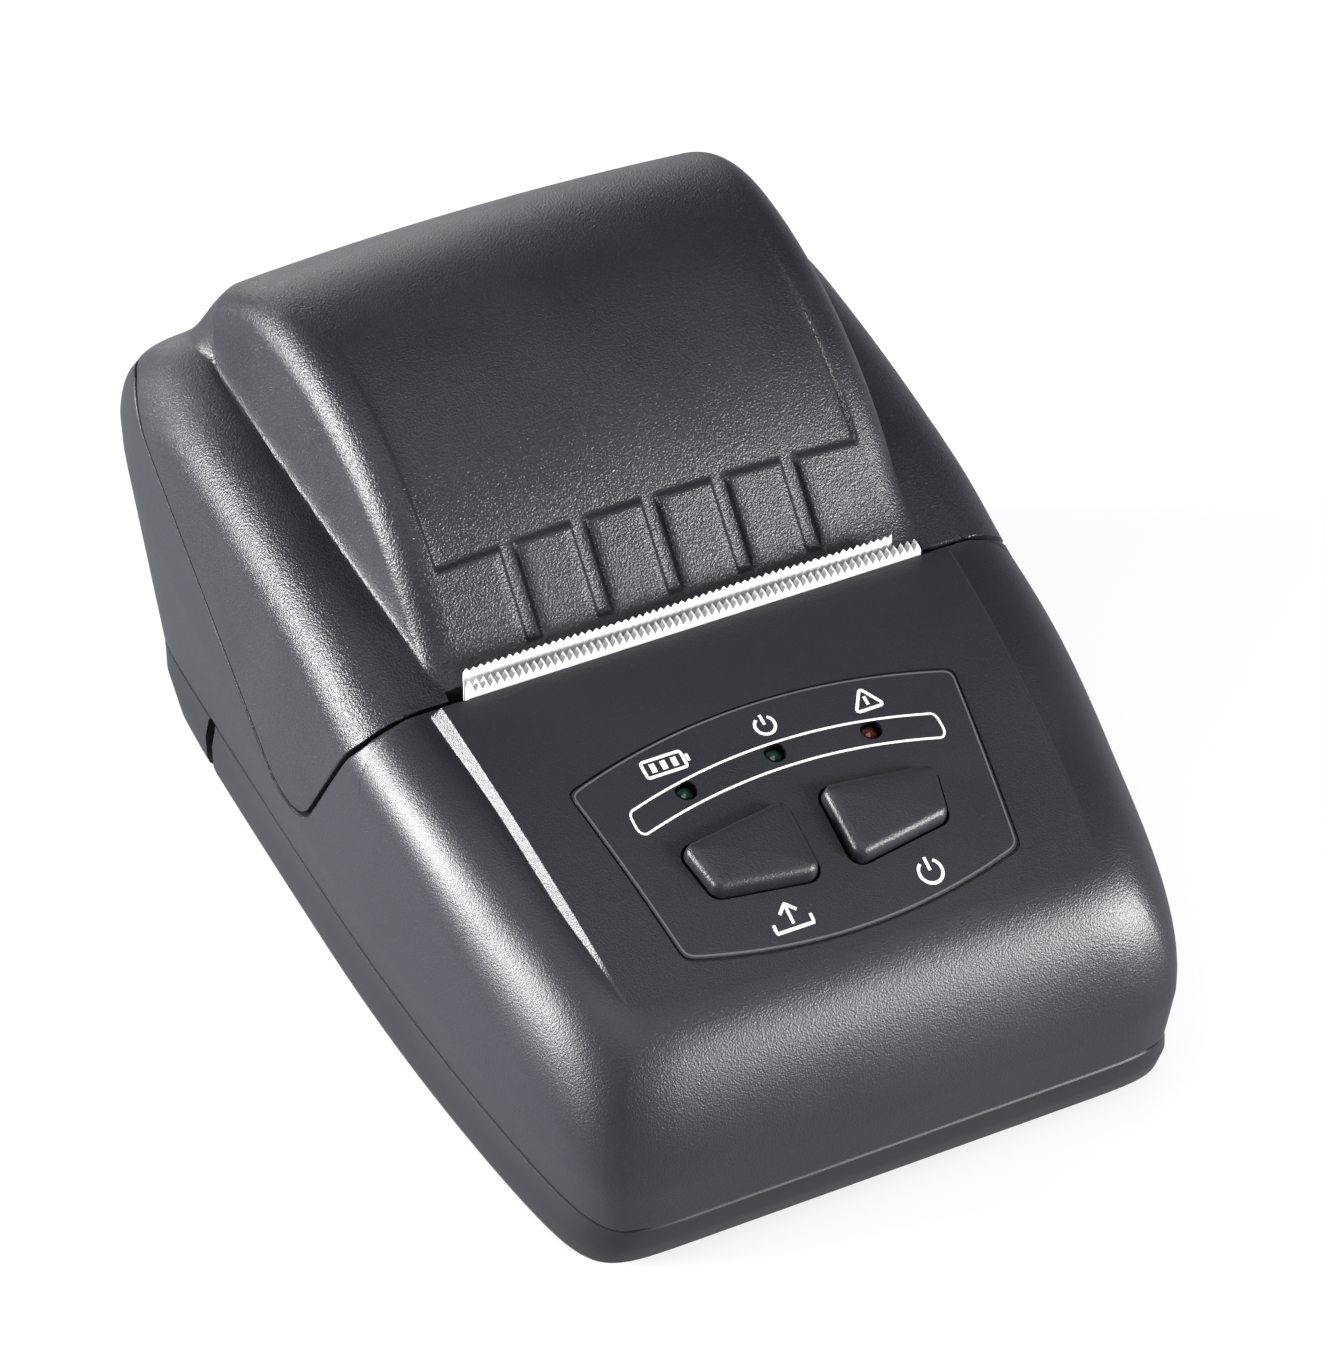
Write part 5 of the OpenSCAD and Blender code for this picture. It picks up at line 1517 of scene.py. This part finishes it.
@dataclass
class Studio:
    """White table, soft lights, backdrop and camera."""

    azimuth: float = -26.19
    elevation: float = 41.0
    distance: float = 0.7092
    target: tuple[float, float, float] = (-0.00426, -0.013, 0.03979)
    lens: float = 153.8
    ambient: float = 0.19
    table_share: float = 0.6
    table_sheen: float = 0.5
    lights: tuple[SoftLight, ...] = (
        SoftLight("left_box", (-0.92, 0.36, 0.21), 0.9, (0.50, 0.36), 29.0),
        SoftLight("front_right_box", (0.62, -0.74, 0.24), 0.95, (0.36, 0.32), 20.0),
        SoftLight("back_box", (0.05, 0.99, 0.10), 1.2, (0.8, 0.18), 3.0),
        SoftLight("overhead_box", (-0.10, -0.25, 0.96), 1.3, (0.9, 0.9), 5.0),
    )

    def camera(self) -> None:
        """Sets the camera on its sphere round the target."""
        az, el = math.radians(self.azimuth), math.radians(self.elevation)
        out = Vector((math.sin(az) * math.cos(el), -math.cos(az) * math.cos(el), math.sin(el)))
        data = bpy.data.cameras.new("camera")
        data.lens = self.lens
        data.sensor_width = 36.0
        data.clip_start, data.clip_end = 0.05, 20.0
        eye = add_object("camera", data)
        eye.location = Vector(self.target) + out * self.distance
        eye.rotation_euler = (-out).to_track_quat("-Z", "Y").to_euler()
        bpy.context.scene.camera = eye

    def table(self) -> None:
        """A wide pale table that reads as white but keeps the printer's shadow."""
        half = 4.0
        data = bpy.data.meshes.new("table")
        data.from_pydata([(-half, -half, 0), (half, -half, 0), (half, half, 0), (-half, half, 0)], [], [(0, 1, 2, 3)])
        table = add_object("table", data)
        made = bpy.data.materials.new("table_finish")
        made.use_nodes = True
        tree = made.node_tree
        tree.nodes.clear()
        out = add_node(tree, "OutputMaterial")
        card = add_node(tree, "BsdfDiffuse", {"Color": (0.9, 0.9, 0.92, 1.0)})
        glow = add_node(tree, "Emission")
        sheen = add_node(tree, "Emission", {"Color": (0.94, 0.96, 1.0, 1.0), "Strength": self.table_sheen})
        ray = add_node(tree, "LightPath")
        seen = add_node(tree, "Math", {1: self.table_share}, operation="MULTIPLY")
        direct = add_node(tree, "MixShader")
        mirrored = add_node(tree, "MixShader")
        wire(tree, (ray, "Is Camera Ray", seen, 0), (seen, 0, direct, "Fac"), (card, 0, direct, 1),
             (glow, 0, direct, 2), (ray, "Is Glossy Ray", mirrored, "Fac"), (direct, 0, mirrored, 1),
             (sheen, 0, mirrored, 2), (mirrored, 0, out, "Surface"))
        data.materials.append(made)

    def world(self) -> None:
        """White to the camera, a dim even grey as light."""
        world = bpy.data.worlds.new("studio")
        bpy.context.scene.world = world
        world.use_nodes = True
        tree = world.node_tree
        tree.nodes.clear()
        out = add_node(tree, "OutputWorld")
        dim = add_node(tree, "Background", {"Color": (0.93, 0.95, 1.0, 1.0), "Strength": self.ambient})
        white = add_node(tree, "Background", {"Color": (1.0, 1.0, 1.0, 1.0)})
        ray = add_node(tree, "LightPath")
        mix = add_node(tree, "MixShader")
        wire(tree, (ray, "Is Camera Ray", mix, "Fac"), (dim, 0, mix, 1), (white, 0, mix, 2), (mix, 0, out, "Surface"))

    def build(self) -> None:
        """Sets up table, lights, world, camera and plain view settings."""
        self.table()
        for light in self.lights:
            light.build(Vector(self.target))
        self.world()
        self.camera()
        bpy.context.scene.view_settings.view_transform = "Standard"
        LOG.info("built studio: %d lights", len(self.lights))


def dress_solids(kit: FinishKit) -> None:
    """Gives every solid of the frame the finish of its slot."""
    slots = {part["node"]: part["material_slot"] for part in frame["record"]["subparts"]}
    for name, solid in frame["nodes"].items():
        solid.data.materials.clear()
        solid.data.materials.append(kit.material(slots[name]))
        LOG.info("dressed %s with %s", name, slots[name])


def main() -> None:
    """Builds the printer's pieces, dresses the solids and sets up the studio."""
    logging.basicConfig(level=logging.INFO, format="%(name)s: %(message)s")
    kit = FinishKit()
    dress_solids(kit)
    pieces = (
        # the tray finish is a darker copy of the shell plastic: painted shade on the base
        BaseTray("tray_skin", Body.BASE, "shell", ("base_tray",), "tray"),
        FrontHousing("housing_skin", Body.BASE, "shell", ("front_housing",)),
        LidShell("lid_skin", Body.LID, "lid", ("lid_shell",)),
        LabelFilm("label_film", Body.BASE, "overlay", ("control_overlay",)),
        KeyCap("feed_cap", Body.FEED, "keys", ("feed_key",), sign=-1.0),
        KeyCap("power_cap", Body.POWER, "keys", ("power_key",), sign=1.0),
        PaperTongue("paper_strip", Body.BASE, "paper", ("paper_tongue",)),
        PanelPrint("panel_print", Body.BASE, "paper", finish="print"),
        LabelRim("label_rim", Body.BASE, "overlay", finish="rim_line"),
    )
    for piece in pieces:
        piece.build(kit)
    Studio().build()


if __name__ == "__main__":
    main()
